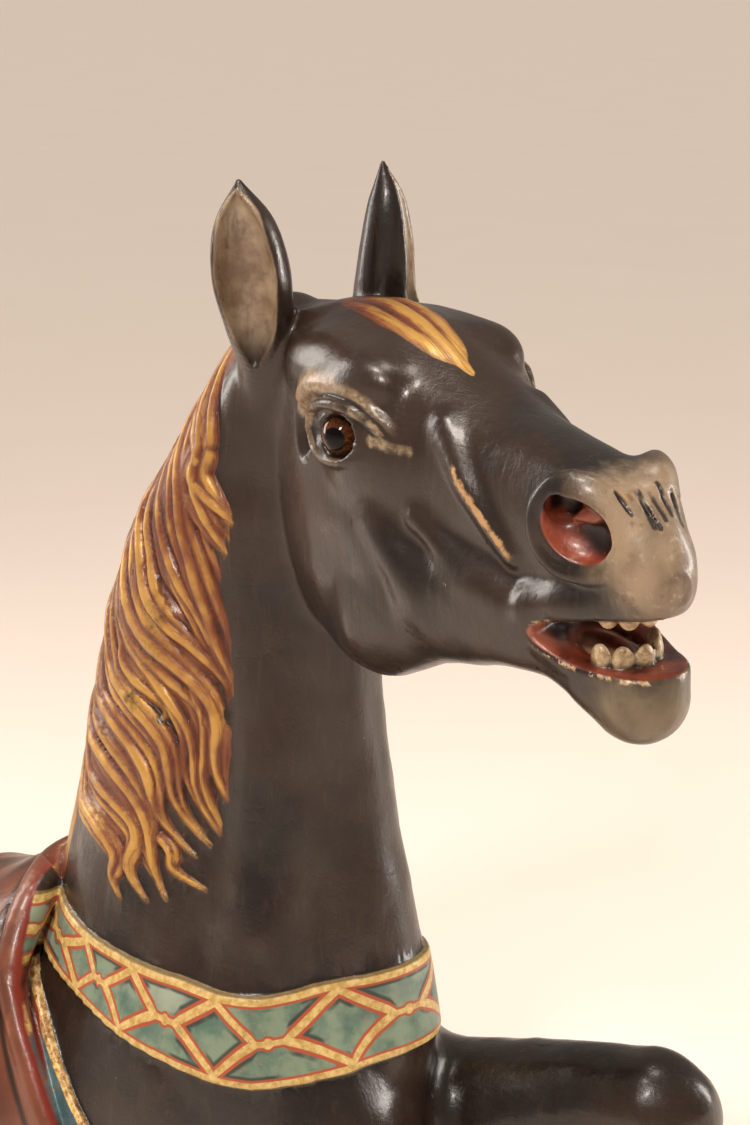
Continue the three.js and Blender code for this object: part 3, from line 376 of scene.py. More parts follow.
# ------------------------------------------------------------------ carving
def carve(g):
    c = Carver(g)

    def ball(p, r, k):
        c.ball(WORLD, p, r, k)

    def hball(p, r, k, rt=None, mode="add"):
        c.ball(HEAD, p, r, k, rt, mode)

    def hpair(p, r, k, rt=None, mode="add"):
        c.ball(HEAD, p, r, k, rt, mode)
        c.ball(HEAD, mirror(p), r, k, None if rt is None else [-rt[0], rt[1], -rt[2]], mode)

    def htube(p, r, k, mode="add", flat=None, n=None):
        c.tube(HEAD, p, r, k, mode, n, flat)

    def hptube(p, r, k, mode="add", flat=None, n=None):
        c.tube(HEAD, p, r, k, mode, n, flat)
        c.tube(HEAD, [mirror(q) for q in p], r, k, mode, n, None if flat is None else [mirror(flat[0]), flat[1]])

    # neck, breast, shoulders, barrel
    c.loft(WORLD, 2, NECK, 20, [-330, -130, 0], [30, 130, 672])
    ball([-110, -58, 80], [112, 60, 115], 40)
    ball([-128, 54, 70], [112, 58, 110], 40)
    ball([-38, -42, 70], [56, 48, 80], 30)
    ball([-60, 38, 70], [56, 46, 80], 30)
    ball([-330, 0, 40], [240, 126, 148], 40)
    # windpipe and the long muscles of the neck
    c.tube(WORLD, [[-58, -20, 520], [-58, -15, 440], [-57, -9, 370], [-50, -5, 300], [-36, -2, 230], [-24, 0, 160]], [22, 23, 25, 27, 30, 31], 26, "add", 40)
    c.tube(WORLD, [[-96, -44, 520], [-90, -47, 440], [-82, -51, 370], [-78, -56, 300], [-80, -64, 230], [-84, -66, 150]], [12, 14, 16, 19, 25, 34], 30, "add", 40)
    c.tube(WORLD, [[-96, 26, 520], [-90, 36, 440], [-82, 46, 370], [-78, 54, 300], [-80, 62, 230], [-84, 62, 150]], [12, 14, 16, 19, 25, 34], 30, "add", 40)
    # raised left foreleg
    c.tube(WORLD, [[-60, 70, 54], [0, 72, 72], [55, 73, 91], [108, 72, 109], [146, 70, 118]], [58, 54, 47, 41, 37], 22, "add", 40)
    ball([156, 70, 115], [36, 33, 40], 12)
    ball([171, 70, 119], [22, 24, 26], 10)
    c.tube(WORLD, [[158, 70, 106], [159, 70, 50], [150, 70, -40]], [33, 25, 24], 14)
    # blanket, breast band, saddle with its flaps and rolled front edge
    c.layer([-400, -160, -14], [-60, 160, 260], BLANKET_THICK, lambda x, y, z: 0.70 * (x - blanket_front(z)) + 0 * y)
    c.layer([-330, -160, 120], [60, 160, 262], BAND_THICK, lambda x, y, z: np.abs(z - band_middle(x)) - band_half(x) + 0 * y)
    c.loft(WORLD, 0, SADDLE, 3, [-420, -150, -20], [-306, 150, 240])
    c.layer([-400, -170, -14], [-100, 170, 235], FLAP_THICK, lambda x, y, z: 0.80 * (x - flap_front(z)).astype(f32) + 0 * y, 3)
    roll = [[r[0], -r[1], r[2]] for r in ROLL[::-1]] + ROLL[1:]
    c.tube(WORLD, roll, ROLL_R[::-1] + ROLL_R[1:], 4, "add", 61)

    # ---- head
    c.loft(HEAD, 0, SKULL, 14, [-122, -60, -90], [248, 60, 70], 2.4)
    hpair([4, 42, 30], [34, 19, 19], 14)
    hpair([-38, 40, 30], [40, 17, 20], 14, [-6, 0, 0])
    hpair([20, 44, -18], [40, 19, 30], 18, [-14, 0, 0])
    # jowl and chewing muscle
    hpair([-32, 36, -72], [95, 28, 94], 8, [2, 0, 0])
    hpair([26, 44, -76], [34, 16, 44], 10, [-14, 0, 0])
    hptube([[26, 53, -50], [46, 52, -74], [57, 46, -96]], [8, 8, 5], 14, "add", None, 20)
    # jaw bars, cheek, chin, lower lip
    hptube([[0, 28, -122], [40, 26, -112], [80, 24, -106], [120, 21, -101], [156, 16, -104], [182, 10, -112]], [38, 32, 28, 25, 20, 22], 16, "add", None, 45)
    hptube([[66, 34, -86], [110, 30, -80], [150, 29, -83]], [25, 20, 14], 16, "add", None, 35)
    hball([205, 0, -121], [34, 27, 31], 12)
    hball([213, 0, -106], [24, 25, 16], 8)
    hptube([[164, 30, -97], [184, 27, -104], [206, 21, -105], [224, 9, -102]], [9, 7, 6, 6], 6, "add", None, 25)
    # upper lip
    hptube([[156, 32, -76], [182, 28, -70], [206, 21, -66], [226, 9, -62]], [9, 10, 9, 9], 13, "add", None, 25)
    hball([222, 0, -46], [25, 22, 25], 10)
    hptube(FACE_CREST, [6, 6, 6, 5, 3.5], 11, "add", None, 30)
    # muscles of the cheek behind the corner of the mouth
    hptube([[62, 48, -44], [88, 43.5, -60], [112, 40, -70], [132, 36, -76]], [2.0, 3.0, 2.6, 0.5], 18, "add", None, 25)
    # nostril: rim, pits, fold; wrinkles over the nose
    hpair([198, 26, -18], [27, 13.5, 28], 12, [-30, 0, 0])
    htube([mirror(q) for q in NOSTRIL], NOSTRIL_R, 4, "add", None, 41)
    htube([[q[0], q[1], q[2] - max(0, 5 * (1 - i / 4))] for i, q in enumerate(NOSTRIL)], NOSTRIL_R, 4, "add", None, 41)
    for q, r, rt in PITS[:2]:
        hpair(q, r, 4, rt, "cut")
    hptube(FOLD, [9, 7, 5], 4, "add", None, 20)
    hpair(PITS[2][0], PITS[2][1], 3, PITS[2][2], "cut")
    for line in WRINKLES:
        htube(line, [0.4, 1.3, 1.2, 0.4], 1.2, "cut", None, 16)
    # mouth
    htube([[157, 0, -90], [167, 0, -90], [192, 0, -91], [230, 0, -88], [300, 0, -86]], [4, 8, 12.5, 16, 19], 4, "cut", [[0, 1, 0], 6.0], 25)
    hball([188, 0, -92], [34, 19, 17], 6, None, "cut")
    for _, p, r, yaw, pitch in TEETH:
        c.ball(HEAD, p, r, 1.0, [yaw, pitch, 0])
    hball([178, 0, -106], [30, 14, 9], 4)
    # eyes: orbit, lids with a fold above, hollow behind
    e = EYE_AT
    hpair([e[0] + 3, e[1] - 2, e[2] + 2], [25, 19, 21], 8)
    hpair([-22, 50, -2], [24, 12, 17], 8, [8, 0, 0])
    htube([mirror(q) for q in BROW], BROW_R, 5, "add", None, 40)
    htube([[q[0], q[1] - 3, q[2] - 1] for q in BROW], BROW_R, 5, "add", None, 40)
    hptube(LID_UPPER, [1.4, 2.4, 3.1, 3.5, 3.7, 3.5, 3.1, 2.4], 2.2, "add", None, 44)
    hptube(LID_LOWER, [1.4, 2.0, 2.6, 3.0, 3.2, 3.0, 2.7, 2.4], 3, "add", None, 44)
    hpair([-52, 58, -9], [9, 8, 17], 6, [-8, 0, 0], "cut")
    hpair([4, 65.5, -1.5], [18.5, 9.5, 14.0], 1.5, [-30, 0, 0], "cut")
    hpair([-24, 66, -3], [13, 6.5, 10.5], 2, [8, 0, 0], "cut")
    # ears
    for s, E, er in ((1, EAR_LEFT, EAR_LEFT_R), (-1, EAR_RIGHT, EAR_RIGHT_R)):
        nrm = [0.66, 0.745 * s, 0.1]
        c.tube(HEAD, E, er, 7, "add", 36, [nrm, 1.05 if s > 0 else 0.85])
        Q = ear_hollow(E, nrm, s)
        c.tube(HEAD, Q, [3, er[2] - 8, er[3] - 6, er[4] - 5, 1], 3, "cut", 36, [nrm, 0.8])
    # forelock, three strands
    for P, R, s in FORELOCK:
        htube(P, R, 1.0, "add", [[0.2, 0, 0.98], 0.8], 25)
    # mane: crest roll, then the strands
    c.tube(WORLD, [on_neck(z, u, -24) for z, u in ((650, 10), (600, 10), (540, 9), (480, 8), (420, 8), (360, 8), (300, 8), (240, 8), (200, 8))],
           [20, 22, 24, 26, 27, 28, 29, 29, 26], 10, "add", 45)
    for P, R, _, _ in STRANDS:
        c.tube(WORLD, P, R, 0.8, "add", len(P))


def spaced(stops):
    """Sample places along an axis from (place, spacing after it) stops."""
    out = [float(stops[0][0])]
    for (a, h), (b, _) in zip(stops, stops[1:]):
        n = max(1, int(round((b - a) / h)))
        out += list(a + (b - a) * (np.arange(n) + 1) / n)
    return np.array(out)


def sample():
    q = 1.0
    ax = [spaced([(-398, 2.6 * q), (-290, 2.0 * q), (-150, 1.5 * q), (175, 1.15 * q), (284, 0)]),
          spaced([(-222, 1.15 * q), (-150, 1.4 * q), (-40, 1.8 * q), (40, 2.4 * q), (150, 0)]),
          spaced([(-8, 2.6 * q), (190, 2.2 * q), (250, 1.7 * q), (486, 1.2 * q), (530, 1.5 * q), (672, 2.0 * q), (766, 0)])]
    g = Grid(ax)
    cuts = np.linspace(0, len(ax[0]), 25).astype(int)

    def slab(i):
        s = Grid([ax[0][cuts[i]:cuts[i + 1]], ax[1], ax[2]])
        s.F = g.F[cuts[i]:cuts[i + 1]]
        carve(s)
    with ThreadPoolExecutor(4) as pool:
        list(pool.map(slab, range(24)))
    F = g.F
    for sl in ((0,), (-1,), (slice(None), 0), (slice(None), -1), (slice(None), slice(None), 0), (slice(None), slice(None), -1)):
        F[sl] = np.maximum(F[sl], 1)
    return g


def skin(g):
    """Surface nets: one vertex in each cell the surface crosses. Returns vertices and quads."""
    F = g.F; n = np.array(F.shape); S = F < 0
    corners = [(i, j, k) for i in (0, 1) for j in (0, 1) for k in (0, 1)]
    cnt = np.zeros(n - 1, np.uint8)
    for i, j, k in corners:
        cnt += S[i:n[0] - 1 + i, j:n[1] - 1 + j, k:n[2] - 1 + k]
    act = (cnt > 0) & (cnt < 8)
    idx = np.argwhere(act); N = len(idx)
    V, W = np.zeros((N, 3)), np.zeros(N)
    vals = {o: F[idx[:, 0] + o[0], idx[:, 1] + o[1], idx[:, 2] + o[2]].astype(float) for o in corners}
    for a in corners:
        for ax in range(3):
            if a[ax] == 0:
                b = list(a); b[ax] = 1
                va, vb = vals[a], vals[tuple(b)]
                m = (va < 0) != (vb < 0)
                t = np.where(m, va / np.where(m, va - vb, 1), 0)
                p = np.tile(np.array(a, float), (N, 1)); p[:, ax] += t
                V += p * m[:, None]; W += m
    V = V / W[:, None] + idx
    P = np.stack([np.interp(V[:, i], np.arange(n[i]), g.ax[i]) for i in range(3)], 1)
    vid = np.full(n - 1, -1, np.int32); vid[act] = np.arange(N)
    Q = []
    for ax in range(3):
        o1, o2 = [(1, 2), (2, 0), (0, 1)][ax]
        sa = [slice(0, n[i]) for i in range(3)]; sb = list(sa)
        sa[ax] = slice(0, n[ax] - 1); sb[ax] = slice(1, n[ax])
        A, B = S[tuple(sa)], S[tuple(sb)]
        e = np.argwhere(A != B); inside = A[tuple(e.T)]

        def g4(d1, d2):
            q = e.copy(); q[:, o1] += d1; q[:, o2] += d2
            return vid[tuple(q.T)]
        q = np.stack([g4(-1, -1), g4(0, -1), g4(0, 0), g4(-1, 0)], 1)
        q[~inside] = q[~inside][:, ::-1]
        Q.append(q)
    return P, np.vstack(Q)


def new_mesh(name, P, faces):
    m = bpy.data.meshes.new(name)
    k = faces.shape[1]
    m.vertices.add(len(P)); m.vertices.foreach_set("co", np.asarray(P, f32).ravel())
    m.loops.add(faces.size); m.loops.foreach_set("vertex_index", faces.astype(np.int32).ravel())
    m.polygons.add(len(faces)); m.polygons.foreach_set("loop_start", np.arange(0, faces.size, k, dtype=np.int32))
    m.update(calc_edges=True)
    return m


def link(name, mesh):
    o = bpy.data.objects.new(name, mesh)
    bpy.context.scene.collection.objects.link(o)
    return o


def applied(o):
    """The object's mesh with its modifiers applied, in place."""
    dg = bpy.context.evaluated_depsgraph_get()
    m = bpy.data.meshes.new_from_object(o.evaluated_get(dg))
    old = o.data
    o.modifiers.clear(); o.data = m
    bpy.data.meshes.remove(old)
    return o


def wooden_body():
    P, Q = skin(sample())
    o = link("carved_horse", new_mesh("carved_horse", (P + SHIFT) / 1000, Q))
    m = o.modifiers.new("thin", "DECIMATE")
    m.ratio = min(1.0, (MAX_FACES - 6000) / (2 * len(Q))) * 1.0
    applied(o)
    hand_carved(o.data)
    bm = bmesh.new(); bm.from_mesh(o.data)
    # keep the largest connected piece
    bm.verts.ensure_lookup_table()
    seen = np.zeros(len(bm.verts), bool); parts = []
    for v in bm.verts:
        if not seen[v.index]:
            todo, got = [v], []
            seen[v.index] = True
            while todo:
                w = todo.pop(); got.append(w)
                for e in w.link_edges:
                    u = e.other_vert(w)
                    if not seen[u.index]:
                        seen[u.index] = True; todo.append(u)
            parts.append(got)
    parts.sort(key=len)
    bmesh.ops.delete(bm, geom=[v for p in parts[:-1] for v in p], context="VERTS")
    for co, no in ((Vector((0, 0, (BASE_Z + SHIFT[2]) / 1000)), Vector((0, 0, -1))), (Vector(((REAR_X + SHIFT[0]) / 1000, 0, 0)), Vector((-1, 0, 0)))):
        r = bmesh.ops.bisect_plane(bm, geom=bm.verts[:] + bm.edges[:] + bm.faces[:], dist=1e-6, plane_co=co, plane_no=no, clear_outer=True)
        edges = [e for e in r["geom_cut"] if isinstance(e, bmesh.types.BMEdge)]
        f = bmesh.ops.triangle_fill(bm, use_beauty=True, edges=edges, normal=no)
        for face in (x for x in f["geom"] if isinstance(x, bmesh.types.BMFace)):
            if face.normal.dot(no) < 0:
                face.normal_flip()
            face.material_index = 1
    bmesh.ops.triangulate(bm, faces=bm.faces[:])
    bm.to_mesh(o.data); bm.free()
    return o


def lattice_noise(P, cell, seed):
    """Smooth noise, 0 to 1, from random values on a lattice of that cell size."""
    table = np.random.default_rng(seed).random((32, 32, 32))
    q = P / cell; i = np.floor(q).astype(int); f = q - i; f = f * f * (3 - 2 * f); i %= 32
    out = 0
    for a in (0, 1):
        for b in (0, 1):
            for c in (0, 1):
                w = (f[:, 0] if a else 1 - f[:, 0]) * (f[:, 1] if b else 1 - f[:, 1]) * (f[:, 2] if c else 1 - f[:, 2])
                out = out + w * table[(i[:, 0] + a) % 32, (i[:, 1] + b) % 32, (i[:, 2] + c) % 32]
    return out


def hand_carved(m):
    """Leave the shallow waves of gouge and rasp on the plain coat, quieter on the face."""
    P = points_of(m) * 1000 - SHIFT
    N = np.empty(len(P) * 3, f32); m.vertices.foreach_get("normal", N); N = N.reshape(-1, 3)
    H = into_head(P)
    face = np.clip((H[:, 0] - 0) / 60, 0, 1) * np.clip((P[:, 2] - 440) / 40, 0, 1)
    near_eye = np.clip((np.minimum(np.linalg.norm(H - EYE_AT, axis=1), np.linalg.norm(H - mirror(EYE_AT), axis=1)) - 40) / 25, 0, 1)
    high = np.clip((P[:, 2] - 520) / 40, 0, 1)
    w = (1 - 0.55 * high) * near_eye * (1 - 0.5 * face) * np.clip((REAR_X + 12 - P[:, 0]) / -10, 0.2, 1)
    trim = (np.abs(P[:, 2] - band_middle(P[:, 0])) < band_half(P[:, 0]) + 2) | (P[:, 0] < blanket_front(P[:, 2]) + 2) & (P[:, 2] < 262)
    w = np.where(trim, 0.25, w)
    side = np.clip((P[:, 0] + 150) / 60, 0, 1)
    d = 2.6 * (lattice_noise(P * [1, 1, 0.6], 34, 3) - 0.5) + 1.5 * (lattice_noise(P * [1, 1, 0.75], 17, 5) - 0.5) + 0.5 * (lattice_noise(P, 8, 7) - 0.5)
    P2 = P + N * (d * w)[:, None]
    m.vertices.foreach_set("co", ((P2 + SHIFT) / 1000).astype(f32).ravel()); m.update()


# ------------------------------------------------------------------ measures at the vertices
def points_of(mesh):
    a = np.empty(len(mesh.vertices) * 3, f32); mesh.vertices.foreach_get("co", a)
    return a.reshape(-1, 3).astype(float)


def give(mesh, name, values):
    values = np.asarray(values, f32)
    kind = "FLOAT" if values.ndim == 1 else "FLOAT_VECTOR"
    a = mesh.attributes.new(name, kind, "POINT")
    a.data.foreach_set("value" if kind == "FLOAT" else "vector", values.ravel())


def along(P, line, rad=None):
    """Distance from each point to a curve, less its radius, and where on it the nearest place is (0 to 1)."""
    best, where = np.full(len(P), 1e9), np.zeros(len(P))
    n = len(line)
    r = np.zeros(n) if rad is None else np.interp(np.linspace(0, 1, n), np.linspace(0, 1, len(rad)), rad)
    for i in range(n - 1):
        a, b = line[i], line[i + 1] - line[i]
        t = np.clip((P - a) @ b / max(b @ b, 1e-9), 0, 1)
        d = np.linalg.norm(P - a - t[:, None] * b, axis=1) - (r[i] + t * (r[i + 1] - r[i]))
        c = d < best
        best[c], where[c] = d[c], (i + t[c]) / (n - 1)
    return best, where


def relief(mesh, P):
    """How far each vertex stands out from a smoothed copy of the surface, at two scales, mm."""
    E = np.empty(len(mesh.edges) * 2, np.int32); mesh.edges.foreach_get("vertices", E); E = E.reshape(-1, 2)
    N = np.empty(len(P) * 3, f32); mesh.vertices.foreach_get("normal", N); N = N.reshape(-1, 3)
    n = len(P)
    w = 1.0 / np.maximum(np.linalg.norm(P[E[:, 0]] - P[E[:, 1]], axis=1), 0.3)
    deg = np.bincount(E[:, 0], w, n) + np.bincount(E[:, 1], w, n)
    S = P.copy(); out = []
    for step in range(14):
        A = np.stack([np.bincount(E[:, 0], w * S[E[:, 1], i], n) + np.bincount(E[:, 1], w * S[E[:, 0], i], n) for i in range(3)], 1) / deg[:, None]
        S = 0.4 * S + 0.6 * A
        if step in (2, 13):
            out.append(((P - S) * N).sum(1))
    for k in range(2):      # soften the measure itself
        for j in range(2):
            h = out[j]
            out[j] = 0.5 * h + 0.5 * (np.bincount(E[:, 0], w * h[E[:, 1]], n) + np.bincount(E[:, 1], w * h[E[:, 0]], n)) / deg
    return out, N


def measure(o):
    m = o.data
    P = points_of(m) * 1000 - SHIFT
    H = into_head(P)
    S = H * [1, 0, 1] + np.abs(H) * [0, 1, 0]               # folded to the left half of the head
    (fine, broad), N = relief(m, P)
    give(m, "head_mm", H)
    give(m, "relief", np.stack([fine, broad, np.zeros(len(P))], 1))
    far = np.full(len(P), 60.0)
    # hair
    near = np.where((P[:, 0] < 60) & (P[:, 2] > 190) & (P[:, 1] < 60))[0]
    pts, info = [], []
    for k, (A, R, lock, s) in enumerate(STRANDS):
        C = catmull(A, 90); T = np.gradient(C, axis=0); T /= np.linalg.norm(T, axis=1)[:, None]
        r = np.interp(np.linspace(0, 1, 90), np.linspace(0, 1, len(R)), R)
        L = np.concatenate([[0], np.cumsum(np.linalg.norm(np.diff(C, axis=0), axis=1))])
        for i in range(90):
            pts.append(C[i]); info.append((C[i], T[i], r[i], L[i], i / 89.0, lock, k))
    kd = kdtree.KDTree(len(pts))
    for i, p in enumerate(pts):
        kd.insert(p, i)
    kd.balance()
    mane, hair, lock = -far.copy(), np.zeros((len(P), 3)), np.zeros((len(P), 3))
    for v in near:
        best = None
        for q, i, d in kd.find_n(P[v], 4):
            e = d - info[i][2]
            if best is None or e < best[0]:
                best = (e, i)
        e, i = best
        C, T, r, L, t, lk, k = info[i]
        D = P[v] - C
        side = np.cross(T, N[v])
        u = float(D @ side) / max(float(np.linalg.norm(side)), 0.2)
        mane[v] = 1.6 - e
        hair[v] = (u / max(r, 1.5), L + float(D @ T), t)
        lock[v] = (lk, k, r)
    crest, where = along(P[near], np.array([on_neck(z, 8, 0) for z in range(640, 190, -10)], float))
    rolls = 27.0 - crest
    low_end = P[near, 2]
    mane[near] = np.maximum(mane[near], np.minimum(rolls, (low_end - 212) * 0.6))
    give(m, "mane", np.clip(mane, -60, 60)); give(m, "hair", hair); give(m, "lock", lock)
    fd = far.copy(); fu = np.zeros((len(P), 3))
    nh = np.where((H[:, 2] > 15) & (H[:, 0] > -110) & (H[:, 0] < 90))[0]
    for A, R, s in FORELOCK:
        d, t = along(H[nh], catmull(A, 25), R)
        better = d < fd[nh]
        sel = nh[better]
        fd[sel] = d[better]; fu[sel, 0] = H[sel, 1] + 3; fu[sel, 1] = t[better] * 150; fu[sel, 2] = t[better]
    give(m, "forelock", np.stack([1.4 - fd, fu[:, 1], fu[:, 2]], 1))
    # mouth, nostrils, ear hollows: distance outward from the shape that was cut
    axis = catmull([[157, 0, -90], [167, 0, -90], [192, 0, -91], [230, 0, -88], [300, 0, -86]], 25)
    Hm = H * [1, 1 / 6.0, 1]
    d1, _ = along(Hm, axis, [4, 8, 12.5, 16, 19])
    d2 = ball_distance(*(H - [188, 0, -92]).T, (34, 19, 17))
    mouth = np.minimum(d1, d2)
    nost = far.copy()
    for p, r, rt in PITS:
        nost = np.minimum(nost, ball_distance(*((S - p) @ turn(*rt)).T, r))
    ear = far.copy()
    for s, E, er in ((1, EAR_LEFT, EAR_LEFT_R), (-1, EAR_RIGHT, EAR_RIGHT_R)):
        nrm = np.array([0.66, 0.745 * s, 0.1])
        Q = ear_hollow(E, nrm, s)
        ear = np.minimum(ear, np.where(H[:, 2] > 20, along(H, catmull(Q, 30), [3, er[2] - 8, er[3] - 6, er[4] - 5, 1])[0], 60))
    give(m, "cuts", np.stack([np.clip(mouth, -20, 60), np.clip(nost, -20, 60), np.clip(ear, -20, 60)], 1))
    teeth = far.copy(); upper = np.zeros(len(P))
    for up, p, r, yaw, pitch in TEETH:
        d = ball_distance(*((H - p) @ turn(yaw, pitch, 0)).T, r)
        upper = np.where(d < teeth, up, upper); teeth = np.minimum(teeth, d)
    tongue = ball_distance(*(H - [178, 0, -106]).T, (30, 14, 9))
    give(m, "bite", np.stack([np.clip(teeth, -5, 60), upper, np.clip(tongue, -5, 60)], 1))
    # eyes
    E = np.linalg.norm(S - EYE_AT, axis=1)
    lid = np.minimum(along(S, catmull(LID_UPPER, 30))[0], along(S, catmull(LID_LOWER, 30))[0])
    brow = along(S, catmull(BROW, 30), BROW_R)[0]
    give(m, "eye", np.stack([E, lid, brow], 1))
    crest = along(S, catmull([[100, 46, -6]] + [[104, 46, -11], [126, 44, -32], [144, 40, -50]], 20))[0]
    rim = along(S, catmull(NOSTRIL, 33))[0]
    corner = along(S, catmull([[58, 45, -4], [46, 50, -3], [33, 57, 1]], 12))[0]
    wrinkle = np.min([along(H, catmull(w, 12))[0] for w in WRINKLES], axis=0)
    chin = np.linalg.norm(H - [226, -6, -136], axis=1)
    give(m, "nose", np.stack([wrinkle, chin, np.zeros(len(P))], 1))
    give(m, "face", np.stack([crest, rim, corner], 1))
    # breast band: place along it (a knot at each whole number), height from its middle, half height
    ang = np.degrees(np.arctan2(P[:, 1], P[:, 0] + 150))
    knots = [(-200, 5.5), (-160, 4.3), (-130, 3.5), (-118.3, 3), (-101, 2.5), (-80.5, 2), (-60.9, 1.5), (-45.6, 1), (-23.5, 0.5), (-6.3, 0), (12, -0.5), (30, -1), (67, -2), (104, -3), (141, -4), (200, -5.6)]
    c = np.interp(ang, [k[0] for k in knots], [k[1] for k in knots])
    h = band_half(P[:, 0])
    v = P[:, 2] - band_middle(P[:, 0])
    front = np.where(P[:, 0] > 24, -200.0, 0.0) + np.where(P[:, 0] < -345, -200.0, 0.0)
    give(m, "band", np.stack([c + 10, v + front, h], 1))
    # saddle: distance behind the blanket's edge, behind the flap's edge, from the roll
    b = 0.70 * (blanket_front(P[:, 2]) - P[:, 0])
    f = 0.80 * (flap_front(P[:, 2]) - P[:, 0])
    low_part = P[:, 0] < -100
    roll_line = catmull([[r[0], -r[1], r[2]] for r in ROLL[::-1]] + ROLL[1:], 61)
    rd, _ = along(P, roll_line)
    above = P[:, 2] > 262
    off = np.where(above | ~low_part, -60.0, 0.0)
    give(m, "saddle", np.stack([b + off, f + off, np.where(above | ~low_part, 60, rd)], 1))
    return m


# ------------------------------------------------------------------ shader helper
class Tree:
    """Builds shader nodes from short calls; values are numbers, colours or sockets."""

    def __init__(self, name):
        self.mat = bpy.data.materials.new(name); self.mat.use_nodes = True
        self.t = self.mat.node_tree; self.t.nodes.clear()
        self.out = self.t.nodes.new("ShaderNodeOutputMaterial")
        self.b = self.t.nodes.new("ShaderNodeBsdfPrincipled")
        self.t.links.new(self.b.outputs[0], self.out.inputs[0])
        self.cache = {}

    def put(self, socket, v):
        if isinstance(v, bpy.types.NodeSocket):
            self.t.links.new(v, socket)
        elif v is not None:
            if hasattr(socket.default_value, "__len__") and not hasattr(v, "__len__"):
                v = [v] * len(socket.default_value)
            if hasattr(v, "__len__") and hasattr(socket.default_value, "__len__") and len(v) == 3 and len(socket.default_value) == 4:
                v = (*v, 1.0)
            socket.default_value = v

    def math(self, op, a, b=None, c=None, clamp=False):
        n = self.t.nodes.new("ShaderNodeMath"); n.operation = op; n.use_clamp = clamp
        for s, v in zip(n.inputs, (a, b, c)):
            self.put(s, v)
        return n.outputs[0]

    def add(self, *v):
        r = v[0]
        for x in v[1:]:
            r = self.math("ADD", r, x)
        return r

    def mul(self, *v):
        r = v[0]
        for x in v[1:]:
            r = self.math("MULTIPLY", r, x)
        return r

    def sub(self, a, b):
        return self.math("SUBTRACT", a, b)

    def inv(self, a):
        return self.math("SUBTRACT", 1.0, a)

    def top(self, a, b):
        return self.math("MAXIMUM", a, b)

    def low(self, a, b):
        return self.math("MINIMUM", a, b)

    def step(self, v, lo, hi, a=0.0, b=1.0):
        """Smooth rise from a at lo to b at hi; lo may be above hi."""
        if lo > hi:
            lo, hi, a, b = hi, lo, b, a
        n = self.t.nodes.new("ShaderNodeMapRange"); n.interpolation_type = "SMOOTHSTEP"
        self.put(n.inputs["Value"], v)
        n.inputs["From Min"].default_value, n.inputs["From Max"].default_value = lo, hi
        n.inputs["To Min"].default_value, n.inputs["To Max"].default_value = a, b
        return n.outputs["Result"]

    def mix(self, f, a, b):
        n = self.t.nodes.new("ShaderNodeMix"); n.data_type = "RGBA"; n.clamp_factor = True
        self.put(n.inputs["Factor"], f); self.put(n.inputs[6], a); self.put(n.inputs[7], b)
        return n.outputs[2]

    def mixf(self, f, a, b):
        n = self.t.nodes.new("ShaderNodeMix"); n.data_type = "FLOAT"; n.clamp_factor = True
        self.put(n.inputs["Factor"], f); self.put(n.inputs[2], a); self.put(n.inputs[3], b)
        return n.outputs[0]

    def attr(self, name, axis=None):
        if name not in self.cache:
            n = self.t.nodes.new("ShaderNodeAttribute"); n.attribute_name = name; n.attribute_type = "GEOMETRY"
            self.cache[name] = n
        n = self.cache[name]
        if axis is None:
            return n.outputs["Fac"]
        key = name + "#xyz"
        if key not in self.cache:
            s = self.t.nodes.new("ShaderNodeSeparateXYZ"); self.t.links.new(n.outputs["Vector"], s.inputs[0])
            self.cache[key] = s
        return self.cache[key].outputs[axis]

    def vec(self, name):
        self.attr(name)
        return self.cache[name].outputs["Vector"]

    def place(self):
        if "place" not in self.cache:
            self.cache["place"] = self.t.nodes.new("ShaderNodeTexCoord")
        return self.cache["place"].outputs["Object"]

    def combine(self, x, y, z):
        n = self.t.nodes.new("ShaderNodeCombineXYZ")
        for s, v in zip(n.inputs, (x, y, z)):
            self.put(s, v)
        return n.outputs[0]

    def stretch(self, v, scale):
        n = self.t.nodes.new("ShaderNodeMapping"); self.put(n.inputs["Vector"], v)
        n.inputs["Scale"].default_value = scale
        return n.outputs[0]

    def noise(self, scale, detail=3.0, rough=0.55, v=None, distort=0.0):
        n = self.t.nodes.new("ShaderNodeTexNoise")
        self.put(n.inputs["Vector"], v if v is not None else self.place())
        n.inputs["Scale"].default_value = scale; n.inputs["Detail"].default_value = detail
        n.inputs["Roughness"].default_value = rough; n.inputs["Distortion"].default_value = distort
        return n.outputs[0]

    def cells(self, scale, v=None, feature="F1"):
        n = self.t.nodes.new("ShaderNodeTexVoronoi"); n.feature = feature
        self.put(n.inputs["Vector"], v if v is not None else self.place()); n.inputs["Scale"].default_value = scale
        return n.outputs[0]

    def bump(self, height, distance, strength=1.0, after=None):
        n = self.t.nodes.new("ShaderNodeBump")
        self.put(n.inputs["Height"], height); n.inputs["Distance"].default_value = distance
        n.inputs["Strength"].default_value = strength
        if after is not None:
            self.t.links.new(after, n.inputs["Normal"])
        return n.outputs[0]


GOLD, GOLD_PALE, GOLD_DEEP = (0.52, 0.28, 0.060), (0.80, 0.56, 0.22), (0.27, 0.105, 0.022)
RED_BROWN, DARK_BROWN = (0.155, 0.036, 0.011), (0.036, 0.010, 0.005)
COAT, COAT_WARM = (0.010, 0.0060, 0.0042), (0.030, 0.0155, 0.0095)
TAN, CREAM = (0.36, 0.235, 0.135), (0.60, 0.46, 0.31)


